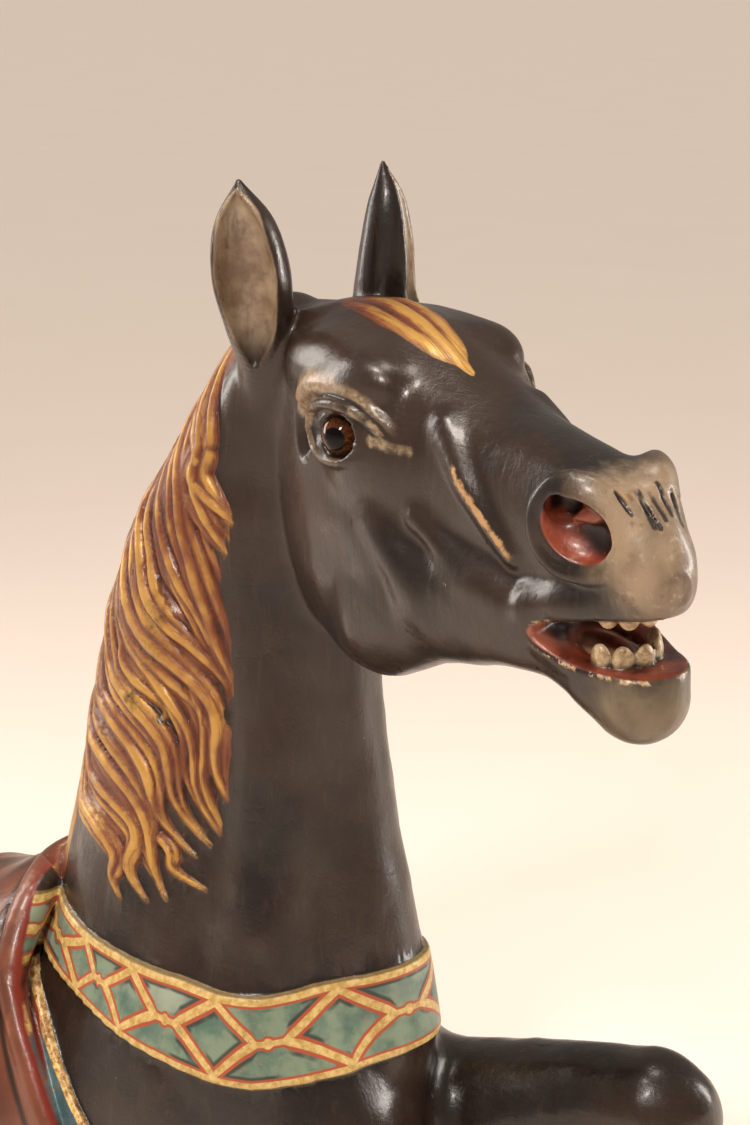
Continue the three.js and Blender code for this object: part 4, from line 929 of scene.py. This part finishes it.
def painted_wood():
    T = Tree("painted_wood")
    hx, hy, hz = (T.attr("head_mm", i) for i in range(3))
    fine, broad = T.attr("relief", 0), T.attr("relief", 1)
    n_big, n_mid, n_small = T.noise(9, 3, 0.5), T.noise(38, 4, 0.6), T.noise(210, 4, 0.65)
    n_fleck = T.noise(95, 5, 0.7, distort=0.4)
    # brushed lacquer coat
    brush = T.noise(75, 5, 0.62, T.stretch(T.place(), (2.4, 2.4, 0.4)), 0.5)
    scratch = T.noise(330, 3, 0.6, T.stretch(T.place(), (0.30, 1.3, 1.0)), 0.3)
    coat = T.mix(T.step(n_big, 0.36, 0.66), COAT, COAT_WARM)
    coat = T.mix(T.mul(T.step(brush, 0.52, 0.78), 0.5), coat, (0.055, 0.028, 0.014))
    # painted shade: the coat is darkened where the broad relief is hollow
    coat = T.mix(T.step(broad, -0.2, -1.6, 0, 0.8), coat, (0.005, 0.0032, 0.0025))
    colour = coat
    rough = T.add(0.13, T.mul(n_mid, 0.16), T.mul(scratch, 0.20))
    metal = 0.0
    # muzzle and chin, painted tan and grey
    shade = T.add(T.mul(T.sub(n_mid, 0.5), 16), T.mul(T.sub(n_big, 0.5), 30), T.mul(T.sub(brush, 0.5), 22))
    along_nose = T.add(hx, T.mul(hz, 0.30), shade)
    snout = T.mul(T.step(along_nose, 186, 222), T.step(hz, -92, -84))
    chin = T.step(T.add(T.attr("nose", 1), shade), 50, 16, 0, 0.85)
    soft = T.noise(26, 4, 0.55, distort=0.3)
    muzzle = T.mix(T.step(soft, 0.34, 0.66), (0.105, 0.068, 0.042), (0.33, 0.235, 0.150))
    muzzle = T.mix(T.mul(T.step(n_fleck, 0.56, 0.70), 0.55), muzzle, (0.070, 0.048, 0.034))
    muzzle = T.mix(T.mul(T.step(n_small, 0.56, 0.70), T.step(broad, -0.2, 0.5), 0.5), muzzle, (0.50, 0.37, 0.24))
    # painted shade: near-black in the muzzle's creases and hollows
    muzzle = T.mix(T.step(T.add(fine, T.mul(broad, 0.25)), -0.10, -0.55, 0, 0.9), muzzle, (0.022, 0.014, 0.011))
    muzzle = T.mix(T.step(hz, -52, -70, 0, 0.6), muzzle, (0.060, 0.040, 0.027))
    colour = T.mix(T.mul(snout, 0.94), colour, muzzle)
    chin_paint = T.mix(T.step(soft, 0.36, 0.64), (0.075, 0.052, 0.032), (0.20, 0.15, 0.085))
    colour = T.mix(T.mul(chin, T.step(hz, -92, -104)), colour, chin_paint)
    wr = T.step(T.add(T.attr("nose", 0), T.mul(T.sub(n_fleck, 0.5), 2.2)), 2.1, 1.0)
    colour = T.mix(T.mul(wr, 0.93), colour, (0.018, 0.012, 0.010))
    wr_edge = T.mul(T.step(T.attr("nose", 0), 4.6, 3.0), T.step(T.attr("nose", 0), 1.8, 2.6), T.step(n_fleck, 0.58, 0.66), 0.9)
    colour = T.mix(wr_edge, colour, (0.42, 0.22, 0.09))
    rough = T.mixf(T.top(snout, chin), rough, T.add(0.30, T.mul(n_small, 0.22)))
    # worn places show the ground coat and the wood
    worn = T.step(T.add(fine, T.mul(T.sub(n_fleck, 0.5), 2.4)), 0.72, 0.86)
    chips = T.mul(T.step(n_fleck, 0.70, 0.735), T.step(T.noise(23, 2, 0.5), 0.5, 0.62))
    crest = T.mul(T.step(T.add(T.attr("face", 0), T.mul(T.sub(n_fleck, 0.5), 9)), 3.4, 1.2), T.step(n_mid, 0.34, 0.5))
    worn = T.top(T.top(T.mul(worn, 0.8), T.mul(chips, 0.9)), T.mul(crest, 0.85))
    wood_tint = T.mix(n_small, (0.42, 0.19, 0.06), (0.62, 0.40, 0.19))
    # mane and forelock
    mane, flock = T.attr("mane"), T.attr("forelock", 0)
    hu, hv, ht = (T.attr("hair", i) for i in range(3))
    lk = T.attr("lock", 0)
    lines = T.noise(1.0, 3, 0.6, T.combine(T.mul(hu, 2.6), T.mul(hv, 0.045), T.mul(T.attr("lock", 1), 3.7)))
    locks = T.noise(1.0, 2, 0.5, T.combine(T.mul(lk, 1.37), T.mul(hv, 0.013), 0.5))
    ridge = T.add(T.mul(fine, 1.1), T.mul(broad, 0.45), T.mul(T.sub(lines, 0.5), 1.5), T.mul(T.sub(locks, 0.5), 1.7), 0.12)
    # the hair's colour follows its relief: the red-brown ground and the gold on the ridges are paint; the dark brown
    # deep in the grooves is painted shade and the pale gold on the highest ridges a painted highlight
    hair = T.mix(T.step(ridge, -1.0, -0.1), DARK_BROWN, RED_BROWN)
    hair = T.mix(T.step(ridge, -0.25, 0.55), hair, GOLD_DEEP)
    hair = T.mix(T.step(ridge, 0.15, 1.0), hair, GOLD)
    hair = T.mix(T.step(ridge, 0.95, 1.9), hair, GOLD_PALE)
    hair = T.mix(T.mul(T.step(ht, 0.72, 0.97), T.step(ridge, -0.6, 0.4), 0.6), hair, GOLD)
    in_mane = T.step(T.add(mane, T.mul(T.sub(n_small, 0.5), 1.6)), -0.6, 0.6)
    in_mane = T.mul(in_mane, T.step(T.add(ht, T.mul(T.sub(lines, 0.5), 0.22)), 1.04, 0.93))
    colour = T.mix(in_mane, colour, hair)
    ft = T.attr("forelock", 2)
    flines = T.noise(1.0, 3, 0.6, T.combine(T.mul(hy, 0.55), T.mul(hx, 0.03), 7.0))
    fr = T.add(T.mul(fine, 1.5), T.mul(broad, 0.42), T.mul(T.sub(flines, 0.5), 1.2), T.mul(T.sub(ft, 0.45), 1.7))
    # as on the mane: the red-brown ground and gold are paint; the dark brown deep in the grooves is painted shade and
    # the pale gold on the highest ridges a painted highlight
    fhair = T.mix(T.step(fr, -0.9, 0.0), DARK_BROWN, RED_BROWN)
    fhair = T.mix(T.step(fr, -0.1, 0.9), fhair, GOLD)
    fhair = T.mix(T.step(fr, 0.9, 1.8), fhair, GOLD_PALE)
    in_fore = T.step(T.add(flock, T.mul(T.sub(n_small, 0.5), 1.2)), -0.4, 0.5)
    colour = T.mix(in_fore, colour, fhair)
    in_hair = T.top(in_mane, in_fore)
    metal = T.mul(in_hair, T.step(T.top(ridge, fr), 0.2, 1.2), 0.35)
    rough = T.mixf(in_hair, rough, T.add(0.30, T.mul(n_small, 0.22)))
    # ears: pale hollows
    ear = T.step(T.add(T.attr("cuts", 2), T.mul(T.sub(n_mid, 0.5), 2.2)), 2.6, 0.9)
    ear_paint = T.mix(T.step(n_mid, 0.35, 0.65), (0.17, 0.105, 0.062), (0.40, 0.30, 0.20))
    ear_paint = T.mix(T.step(T.noise(55, 4, 0.6, T.stretch(T.place(), (1, 1, 0.25))), 0.55, 0.75), ear_paint, (0.05, 0.032, 0.022))
    ear = T.mul(ear, T.step(hz, 22, 60, 0.0, 1.0), T.step(n_big, 0.2, 0.5, 0.7, 1.0))
    colour = T.mix(T.mul(ear, 0.85), colour, ear_paint)
    # brow patches, lids and the corner of the eye
    eye_n = T.add(T.mul(T.sub(n_fleck, 0.5), 4.5), T.mul(T.sub(n_mid, 0.5), 4))
    brow = T.mul(T.step(T.add(T.attr("eye", 2), eye_n), 4.2, -0.6), T.step(T.attr("eye", 1), 4.2, 5.4), T.step(T.attr("eye", 0), 20, 24), T.step(hx, 44, 22, 0.25, 1.0))
    lid = T.mul(T.step(T.add(T.attr("eye", 1), T.mul(T.sub(n_fleck, 0.5), 2.6)), 3.7, 2.6), T.mixf(T.step(hz, -6, 2), 0.35, 1.0))
    corner = T.mul(T.step(T.add(T.attr("face", 2), T.mul(T.sub(n_fleck, 0.5), 5)), 6.0, 3.5), 0.75)
    tan = T.mix(T.step(n_small, 0.36, 0.62), (0.215, 0.135, 0.072), (0.47, 0.36, 0.23))
    tan = T.mix(T.step(n_mid, 0.50, 0.66, 0, 0.55), tan, (0.27, 0.125, 0.048))
    colour = T.mix(T.mul(T.top(T.top(brow, lid), corner), 0.86), colour, tan)
    # painted shade: near-black in the hollow of the fold above the eye
    crease = T.mul(T.step(T.attr("eye", 1), 3.6, 4.4), T.step(T.attr("eye", 1), 7.2, 5.8), T.step(hz, 0, 4), T.step(T.attr("eye", 0), 50, 44))
    colour = T.mix(T.mul(crease, T.step(fine, 0.25, -0.15), 0.95), colour, (0.008, 0.005, 0.004))
    # near-black on the wood right round the glass inside the lids; in the concave hollows just round the lids it is
    # painted shade
    around = T.mul(T.step(T.attr("eye", 1), 1.2, 2.6), T.step(T.attr("eye", 0), 32, 27), T.step(T.attr("eye", 2), 1.0, 3.0))
    inside_lids = T.step(T.attr("eye", 0), 19.6, 17.4)
    colour = T.mix(T.top(T.mul(inside_lids, 0.96), T.mul(around, T.step(fine, 0.0, -0.4), 0.9)), colour, (0.009, 0.006, 0.005))
    # nostrils: red, with painted shade as near-black in their depths
    nc = T.attr("cuts", 1)
    nost = T.step(T.add(nc, T.mul(T.sub(n_mid, 0.5), 1.6)), 1.7, 0.6)
    red_in = T.mix(T.step(n_mid, 0.35, 0.65), (0.085, 0.014, 0.008), (0.30, 0.062, 0.030))
    red_in = T.mix(T.step(n_fleck, 0.56, 0.70, 0, 0.6), red_in, (0.40, 0.17, 0.11))
    colour = T.mix(T.mul(nost, 0.95), colour, red_in)
    # painted shade: the deep middle and top of each nostril are near-black
    side_in = T.step(T.math("ABSOLUTE", hy), 27, 21)
    top_in = T.mul(T.step(T.math("ABSOLUTE", hy), 36, 31), T.step(hx, 204, 198), T.step(hz, -16, -11))
    colour = T.mix(T.mul(nost, T.top(side_in, top_in), 0.97), colour, (0.006, 0.003, 0.0025))
    # mouth: red-brown inside, pale chipped lips, teeth, tongue
    mcut = T.attr("cuts", 0)
    lips = T.mul(T.step(T.add(mcut, T.mul(T.sub(n_fleck, 0.5), 7), T.mul(T.sub(n_mid, 0.5), 4)), 4.6, 2.8), T.step(n_fleck, 0.54, 0.59), T.step(hx, 156, 166))
    colour = T.mix(T.mul(lips, 0.9), colour, T.mix(T.step(n_small, 0.4, 0.6), (0.40, 0.20, 0.075), CREAM))
    inside = T.mul(T.step(T.add(mcut, T.mul(T.sub(n_mid, 0.5), 1.2)), 1.6, 0.7), T.step(hx, 150, 156))
    gum = T.mix(T.step(n_mid, 0.35, 0.65), (0.070, 0.012, 0.007), (0.24, 0.050, 0.022))
    gum = T.mix(T.step(hx, 178, 166, 0, 0.75), gum, (0.36, 0.12, 0.075))
    # painted shade: near-black deep in the front of the mouth, between upper and lower teeth
    gum = T.mix(T.mul(T.step(T.math("ABSOLUTE", hy), 31, 22), T.step(hx, 214, 200), T.step(hz, -102, -94), 0.93), gum, (0.012, 0.004, 0.003))
    colour = T.mix(inside, colour, gum)
    tongue = T.mul(inside, T.step(T.attr("bite", 2), 1.6, 0.5), T.step(T.math("ABSOLUTE", hy), 3, 9))
    colour = T.mix(T.mul(tongue, 0.8), colour, T.mix(T.step(n_mid, 0.4, 0.6), (0.23, 0.10, 0.06), (0.46, 0.27, 0.18)))
    tooth = T.step(T.attr("bite", 0), 0.9, 0.4)
    tooth_paint = T.mix(T.step(n_fleck, 0.42, 0.60), (0.34, 0.215, 0.105), (0.62, 0.47, 0.28))
    tooth_paint = T.mix(T.step(n_small, 0.60, 0.72, 0, 0.7), tooth_paint, (0.085, 0.045, 0.022))
    # painted shade: dark in the grooves between the teeth
    tooth_paint = T.mix(T.step(fine, 0.10, -0.30, 0, 0.95), tooth_paint, (0.020, 0.008, 0.005))
    colour = T.mix(tooth, colour, tooth_paint)
    rough = T.mixf(T.top(inside, nost), rough, 0.36)
    # blanket edge: gold line, then blue-green, then painted shadow back to the saddle
    bd, fd, rd = (T.attr("saddle", i) for i in range(3))
    wob = T.mul(T.sub(n_mid, 0.5), 2.2)
    b = T.add(bd, wob)
    blue = T.mix(T.step(n_mid, 0.4, 0.65), (0.035, 0.085, 0.10), (0.10, 0.17, 0.17))
    blue = T.mix(T.step(n_fleck, 0.56, 0.66), blue, GOLD_DEEP)
    gold_line = T.mix(T.step(n_small, 0.35, 0.65), GOLD_DEEP, GOLD_PALE)
    colour = T.mix(T.step(b, -0.9, 0.1), colour, gold_line)
    colour = T.mix(T.step(b, 4.2, 5.0), colour, blue)
    # painted shadow: near-black from just behind the blue stripe back to the saddle
    colour = T.mix(T.step(b, 15.5, 18.5), colour, (0.016, 0.010, 0.009))
    # leather: red-brown with dark shading
    on_saddle = T.mul(T.step(fd, -9.5, -8.5), T.step(T.low(rd, T.sub(16, fd)), 16.2, 15.0))
    leather = T.mix(T.step(n_big, 0.35, 0.65), (0.060, 0.017, 0.010), (0.185, 0.055, 0.026))
    leather = T.mix(T.step(T.noise(30, 5, 0.6, T.stretch(T.place(), (1, 1, 0.3))), 0.52, 0.72), leather, (0.24, 0.085, 0.040))
    leather = T.mix(T.step(fd, 20, 26, 0, 0.0), leather, leather)
    # painted shadow: a dark line on the flap just behind its rolled front edge
    leather = T.mix(T.mul(T.step(fd, 9.0, 12.5), T.step(fd, 17.5, 13.5), 0.9), leather, (0.012, 0.006, 0.005))
    leather = T.mix(T.mul(T.step(fd, -3.5, -8.5), 0.9), leather, (0.20, 0.018, 0.010))
    # painted shade: the leather is darker in its hollows
    leather = T.mix(T.step(fine, -0.1, -0.7, 0, 0.85), leather, (0.02, 0.010, 0.008))
    colour = T.mix(on_saddle, colour, leather)
    rough = T.mixf(on_saddle, rough, T.add(0.27, T.mul(n_small, 0.12)))
    # breast band
    bc, bv, bh = (T.attr("band", i) for i in range(3))
    edge = T.sub(bh, T.math("ABSOLUTE", bv))                 # mm in from the band's edge
    edge_w = T.add(edge, T.mul(T.sub(n_mid, 0.5), 1.5))
    half = T.sub(bh, 5.5)
    s = T.math("ABSOLUTE", T.sub(T.mul(T.math("FRACT", bc), 2.0), 1.0))     # 0 at a diamond, 1 at a knot
    v = T.math("DIVIDE", bv, half)
    far = T.top(T.sub(1.0, T.math("DIVIDE", s, 0.80)), 0.0)
    up_line = T.add(T.math("POWER", far, 1.0), 0.0)
    dn_line = T.mul(T.math("POWER", far, 1.35), -1.0)
    slope = T.mixf(T.step(s, 0.70, 0.85), 0.62, 1.0)
    du = T.mul(T.math("ABSOLUTE", T.sub(v, up_line)), half, slope)
    dd = T.mul(T.math("ABSOLUTE", T.sub(v, dn_line)), half, slope)
    knot = T.math("SQRT", T.add(T.math("POWER", T.mul(T.sub(1.0, s), 44.0), 2.0), T.math("POWER", bv, 2.0)))
    strap = T.add(T.low(T.low(du, dd), T.sub(knot, 1.6)), T.mul(T.sub(n_mid, 0.5), 1.3))
    panel = T.mix(T.step(n_mid, 0.36, 0.62), (0.075, 0.135, 0.105), (0.19, 0.25, 0.17))
    panel = T.mix(T.step(n_big, 0.48, 0.66, 0, 0.75), panel, (0.34, 0.37, 0.29))
    panel = T.mix(T.step(n_fleck, 0.60, 0.72, 0, 0.6), panel, (0.33, 0.16, 0.07))
    # painted shadow: dark patches on the panels beside the strips and inside the borders
    panel = T.mix(T.mul(T.step(T.low(strap, T.sub(edge_w, 3.4)), 6.4, 4.8), T.step(T.noise(26, 2, 0.5), 0.48, 0.56), 0.85), panel, (0.020, 0.022, 0.020))
    red = T.mix(n_mid, (0.30, 0.045, 0.018), (0.42, 0.10, 0.04))
    gold = T.mix(T.step(n_small, 0.3, 0.7), (0.42, 0.25, 0.06), (0.66, 0.48, 0.19))
    gold = T.mix(T.step(n_fleck, 0.60, 0.72, 0, 0.7), gold, (0.27, 0.17, 0.06))
    b_col = T.mix(T.step(strap, 4.0, 3.4), panel, red)
    b_col = T.mix(T.step(strap, 2.2, 1.7), b_col, gold)
    b_col = T.mix(T.step(edge_w, 7.4, 6.6), b_col, T.mix(T.step(strap, 2.2, 1.7), red, gold))
    b_col = T.mix(T.step(edge_w, 5.6, 5.0), b_col, gold)
    b_col = T.mix(T.step(edge_w, 1.4, 0.4, 0, 0.8), b_col, (0.10, 0.065, 0.025))
    in_band = T.step(edge_w, -1.2, -0.4)
    in_band = T.mul(in_band, T.inv(T.step(mane, -1.0, 1.0)), T.inv(T.step(b, -1.0, 0.0)), T.inv(on_saddle))
    colour = T.mix(in_band, colour, b_col)
    rough = T.mixf(in_band, rough, T.add(0.34, T.mul(n_small, 0.2)))
    # wear over everything but the hair and trappings
    plain = T.mul(T.inv(in_hair), T.inv(on_saddle), T.inv(in_band), T.inv(tooth), T.inv(T.top(inside, nost)))
    colour = T.mix(T.mul(worn, plain), colour, wood_tint)
    rough = T.mixf(T.mul(worn, plain), rough, 0.62)
    T.put(T.b.inputs["Base Color"], colour)
    T.put(T.b.inputs["Roughness"], rough)
    T.put(T.b.inputs["Metallic"], metal)
    T.b.inputs["Specular IOR Level"].default_value = 0.46
    T.b.inputs["Coat Weight"].default_value = 0.15
    T.b.inputs["Coat Roughness"].default_value = 0.12
    # relief too fine to model: brush marks, hair lines, pitting
    hgt = T.add(T.mul(brush, 0.40), T.mul(n_mid, 0.55), T.mul(n_small, 0.10), T.mul(scratch, 0.22))
    hgt = T.mixf(in_hair, hgt, T.add(T.mul(T.mixf(in_mane, flines, lines), 1.5), T.mul(n_small, 0.15)))
    hgt = T.sub(hgt, T.mul(T.mul(worn, plain), 0.25))
    nrm = T.bump(hgt, 0.0010, 0.75)
    nrm = T.bump(T.noise(16, 2, 0.5), 0.006, 0.25, nrm)
    T.t.links.new(nrm, T.b.inputs["Normal"])
    return T.mat


def sawn_wood():
    T = Tree("sawn_wood")
    sp = T.t.nodes.new("ShaderNodeSeparateXYZ"); T.t.links.new(T.place(), sp.inputs[0])
    x, y, z = sp.outputs
    # planks glued up side by side across the body: each has rings of its own
    plank = T.math("FLOOR", T.mul(T.add(y, 1.0), 1000 / 48.0))
    seam = T.math("ABSOLUTE", T.sub(T.math("FRACT", T.mul(T.add(y, 1.0), 1000 / 48.0)), 0.5))
    q = T.combine(T.add(x, T.mul(plank, 0.37)), T.add(y, T.mul(plank, 0.11)), T.add(z, T.mul(plank, 0.23)))
    rings = T.noise(14, 2, 0.5, T.stretch(q, (0.6, 3.0, 1.0)), 0.8)
    ring = T.math("ABSOLUTE", T.math("SINE", T.mul(rings, 70)))
    grain = T.noise(220, 4, 0.6, q)
    col = T.mix(ring, (0.38, 0.22, 0.105), (0.56, 0.37, 0.20))
    col = T.mix(T.step(grain, 0.5, 0.75, 0, 0.5), col, (0.24, 0.13, 0.06))
    col = T.mix(T.step(T.noise(6, 3, 0.5), 0.45, 0.7, 0, 0.5), col, (0.30, 0.19, 0.11))
    col = T.mix(T.step(seam, 0.488, 0.497), col, (0.07, 0.04, 0.02))
    T.put(T.b.inputs["Base Color"], col)
    T.put(T.b.inputs["Roughness"], T.add(0.62, T.mul(grain, 0.2)))
    T.t.links.new(T.bump(T.add(T.mul(ring, 0.4), grain), 0.0006, 0.6), T.b.inputs["Normal"])
    return T.mat


def eye_glass():
    """Brown glass with a black pupil; the eye's own frame has its gaze along +Z."""
    T = Tree("eye_glass")
    gx, gy, gz = (T.attr("gaze", i) for i in range(3))
    r = T.math("SQRT", T.add(T.mul(gx, gx), T.mul(gy, gy)))
    ang = T.noise(9.0, 3, 0.6, T.combine(T.math("DIVIDE", gx, T.top(r, 0.02)), T.math("DIVIDE", gy, T.top(r, 0.02)), T.mul(r, 0.6)))
    iris = T.mix(T.step(ang, 0.35, 0.7), (0.030, 0.010, 0.004), (0.13, 0.040, 0.010))
    iris = T.mix(T.step(r, 0.66, 0.90), iris, (0.006, 0.003, 0.002))
    col = T.mix(T.step(r, 0.50, 0.42), iris, (0.0015, 0.001, 0.001))
    T.put(T.b.inputs["Base Color"], col)
    T.b.inputs["Roughness"].default_value = 0.035
    T.b.inputs["Specular IOR Level"].default_value = 0.22
    return T.mat


def eyeball(name, node, gaze):
    """A glass eye: a ball whose front bulges a little, just inside the CAD ball's size."""
    lo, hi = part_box(node)
    c = np.array((lo + hi) / 2); r = float(hi[0] - lo[0]) / 2
    bm = bmesh.new()
    bmesh.ops.create_uvsphere(bm, u_segments=72, v_segments=48, radius=1.0)
    z = np.array(gaze, float); z /= np.linalg.norm(z)
    x = np.cross([0, 0, 1.0], z); x /= np.linalg.norm(x); y = np.cross(z, x)
    m = bpy.data.meshes.new(name); bm.to_mesh(m); bm.free()
    L = points_of(m)
    flat = np.maximum(L[:, 2], 0)
    k = 1 - 0.035 * (1 - np.exp(-((1 - flat) / 0.12) ** 2))
    W = (L * k[:, None] * r) @ np.stack([x, y, z]) + c
    m.vertices.foreach_set("co", W.astype(f32).ravel())
    give(m, "gaze", L)
    m.polygons.foreach_set("use_smooth", np.ones(len(m.polygons), bool))
    m.update()
    o = link(name, m)
    m.materials.append(EYE_MATERIAL)
    return o


# ------------------------------------------------------------------ make everything
body = wooden_body()
measure(body)
body.data.materials.clear()
body.data.materials.append(painted_wood())
body.data.materials.append(sawn_wood())
body.data.polygons.foreach_set("use_smooth", np.ones(len(body.data.polygons), bool))
# crisp edge round the sawn faces
fm = np.empty(len(body.data.polygons), np.int32); body.data.polygons.foreach_get("material_index", fm)
normals = np.empty(len(fm) * 3, f32); body.data.polygons.foreach_get("normal", normals); normals = normals.reshape(-1, 3)
kind = fm * (1 + (normals[:, 0] < -0.7).astype(int))
le = np.empty(len(body.data.loops), np.int32); body.data.loops.foreach_get("edge_index", le)
lf = np.repeat(np.arange(len(fm)), 3)
lo_k, hi_k = np.full(len(body.data.edges), 9), np.full(len(body.data.edges), -1)
np.minimum.at(lo_k, le, kind[lf]); np.maximum.at(hi_k, le, kind[lf])
sharp = body.data.attributes.new("sharp_edge", "BOOLEAN", "EDGE")
sharp.data.foreach_set("value", lo_k != hi_k)
body.data.update()
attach(body, "root"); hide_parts("carved_horse_bust")

EYE_MATERIAL = eye_glass()
for name, node, s in (("left_eye", "glass_eye_left", 1), ("right_eye", "glass_eye_right", -1)):
    g = HEAD_R @ np.array([0.50, 0.866 * s, 0.03])
    e = eyeball(name, node, g)
    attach(e, "root"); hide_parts(node)

# ------------------------------------------------------------------ floor, light, camera
def at(x, y, z):
    return Vector((np.array([x, y, z], float) + SHIFT) / 1000)


floor_mesh = bpy.data.meshes.new("floor")
floor_mesh.from_pydata([(-60, -60, -0.0006), (60, -60, -0.0006), (60, 60, -0.0006), (-60, 60, -0.0006)], [], [(0, 1, 2, 3)])
floor = link("floor", floor_mesh)
F = Tree("floor")
F.put(F.b.inputs["Base Color"], F.mix(F.noise(3, 3, 0.5), (0.86, 0.755, 0.68), (0.89, 0.79, 0.715)))
F.b.inputs["Roughness"].default_value = 0.75
floor_mesh.materials.append(F.mat)

world = bpy.data.worlds.new("studio"); bpy.context.scene.world = world
world.use_nodes = True
bg = world.node_tree.nodes["Background"]
bg.inputs["Color"].default_value = (1.0, 0.90, 0.80, 1); bg.inputs["Strength"].default_value = 0.32

AZ, EL = math.radians(32.0), math.radians(14.0)
ahead = Vector((-math.sin(AZ) * math.cos(EL), math.cos(AZ) * math.cos(EL), -math.sin(EL)))
right = Vector((math.cos(AZ), math.sin(AZ), 0)); up = right.cross(ahead)
target = at(0, -50, 505)
cam_data = bpy.data.cameras.new("camera"); cam = bpy.data.objects.new("camera", cam_data)
bpy.context.scene.collection.objects.link(cam)
cam.location = target - ahead * 1.566
cam.rotation_euler = (math.pi / 2 - EL, 0, AZ)
cam_data.sensor_fit = "VERTICAL"; cam_data.sensor_height = 36.0
cam_data.lens = 2466.0 / 1125.0 * 36.0
cam_data.clip_start, cam_data.clip_end = 0.05, 300
bpy.context.scene.camera = cam


def area(name, r, u, back, size, power, colour, aim=(0, 0, 0)):
    """A square soft light placed r to the right, u up and back towards the camera from the target."""
    d = bpy.data.lights.new(name, "AREA"); d.shape = "RECTANGLE"; d.size, d.size_y = size
    d.energy = power; d.color = colour
    o = bpy.data.objects.new(name, d); bpy.context.scene.collection.objects.link(o)
    o.location = target + right * r + up * u - ahead * back
    aim_at = target + Vector(aim)
    o.rotation_euler = (aim_at - o.location).to_track_quat("-Z", "Y").to_euler()
    return o


area("key", -0.70, 1.0, 1.9, (0.35, 0.35), 27, (1.0, 0.92, 0.84))
area("side", 1.75, 0.35, -0.15, (0.35, 1.1), 26, (1.0, 0.93, 0.86))
area("rim", -1.5, 0.7, -0.7, (0.35, 1.1), 12, (1.0, 0.93, 0.86))
area("top", 0.1, 1.7, 0.5, (0.5, 0.5), 9, (1.0, 0.90, 0.78))
sun_data = bpy.data.lights.new("skylight", "SUN"); sun_data.energy = 1.7; sun_data.angle = math.radians(12); sun_data.color = (1.0, 0.90, 0.80)
sun = bpy.data.objects.new("skylight", sun_data); bpy.context.scene.collection.objects.link(sun)
sun.rotation_euler = (-(right * -0.7 + up * 1.5 - ahead * 0.8)).to_track_quat("-Z", "Y").to_euler()
scene = bpy.context.scene
scene.view_settings.view_transform = "Standard"
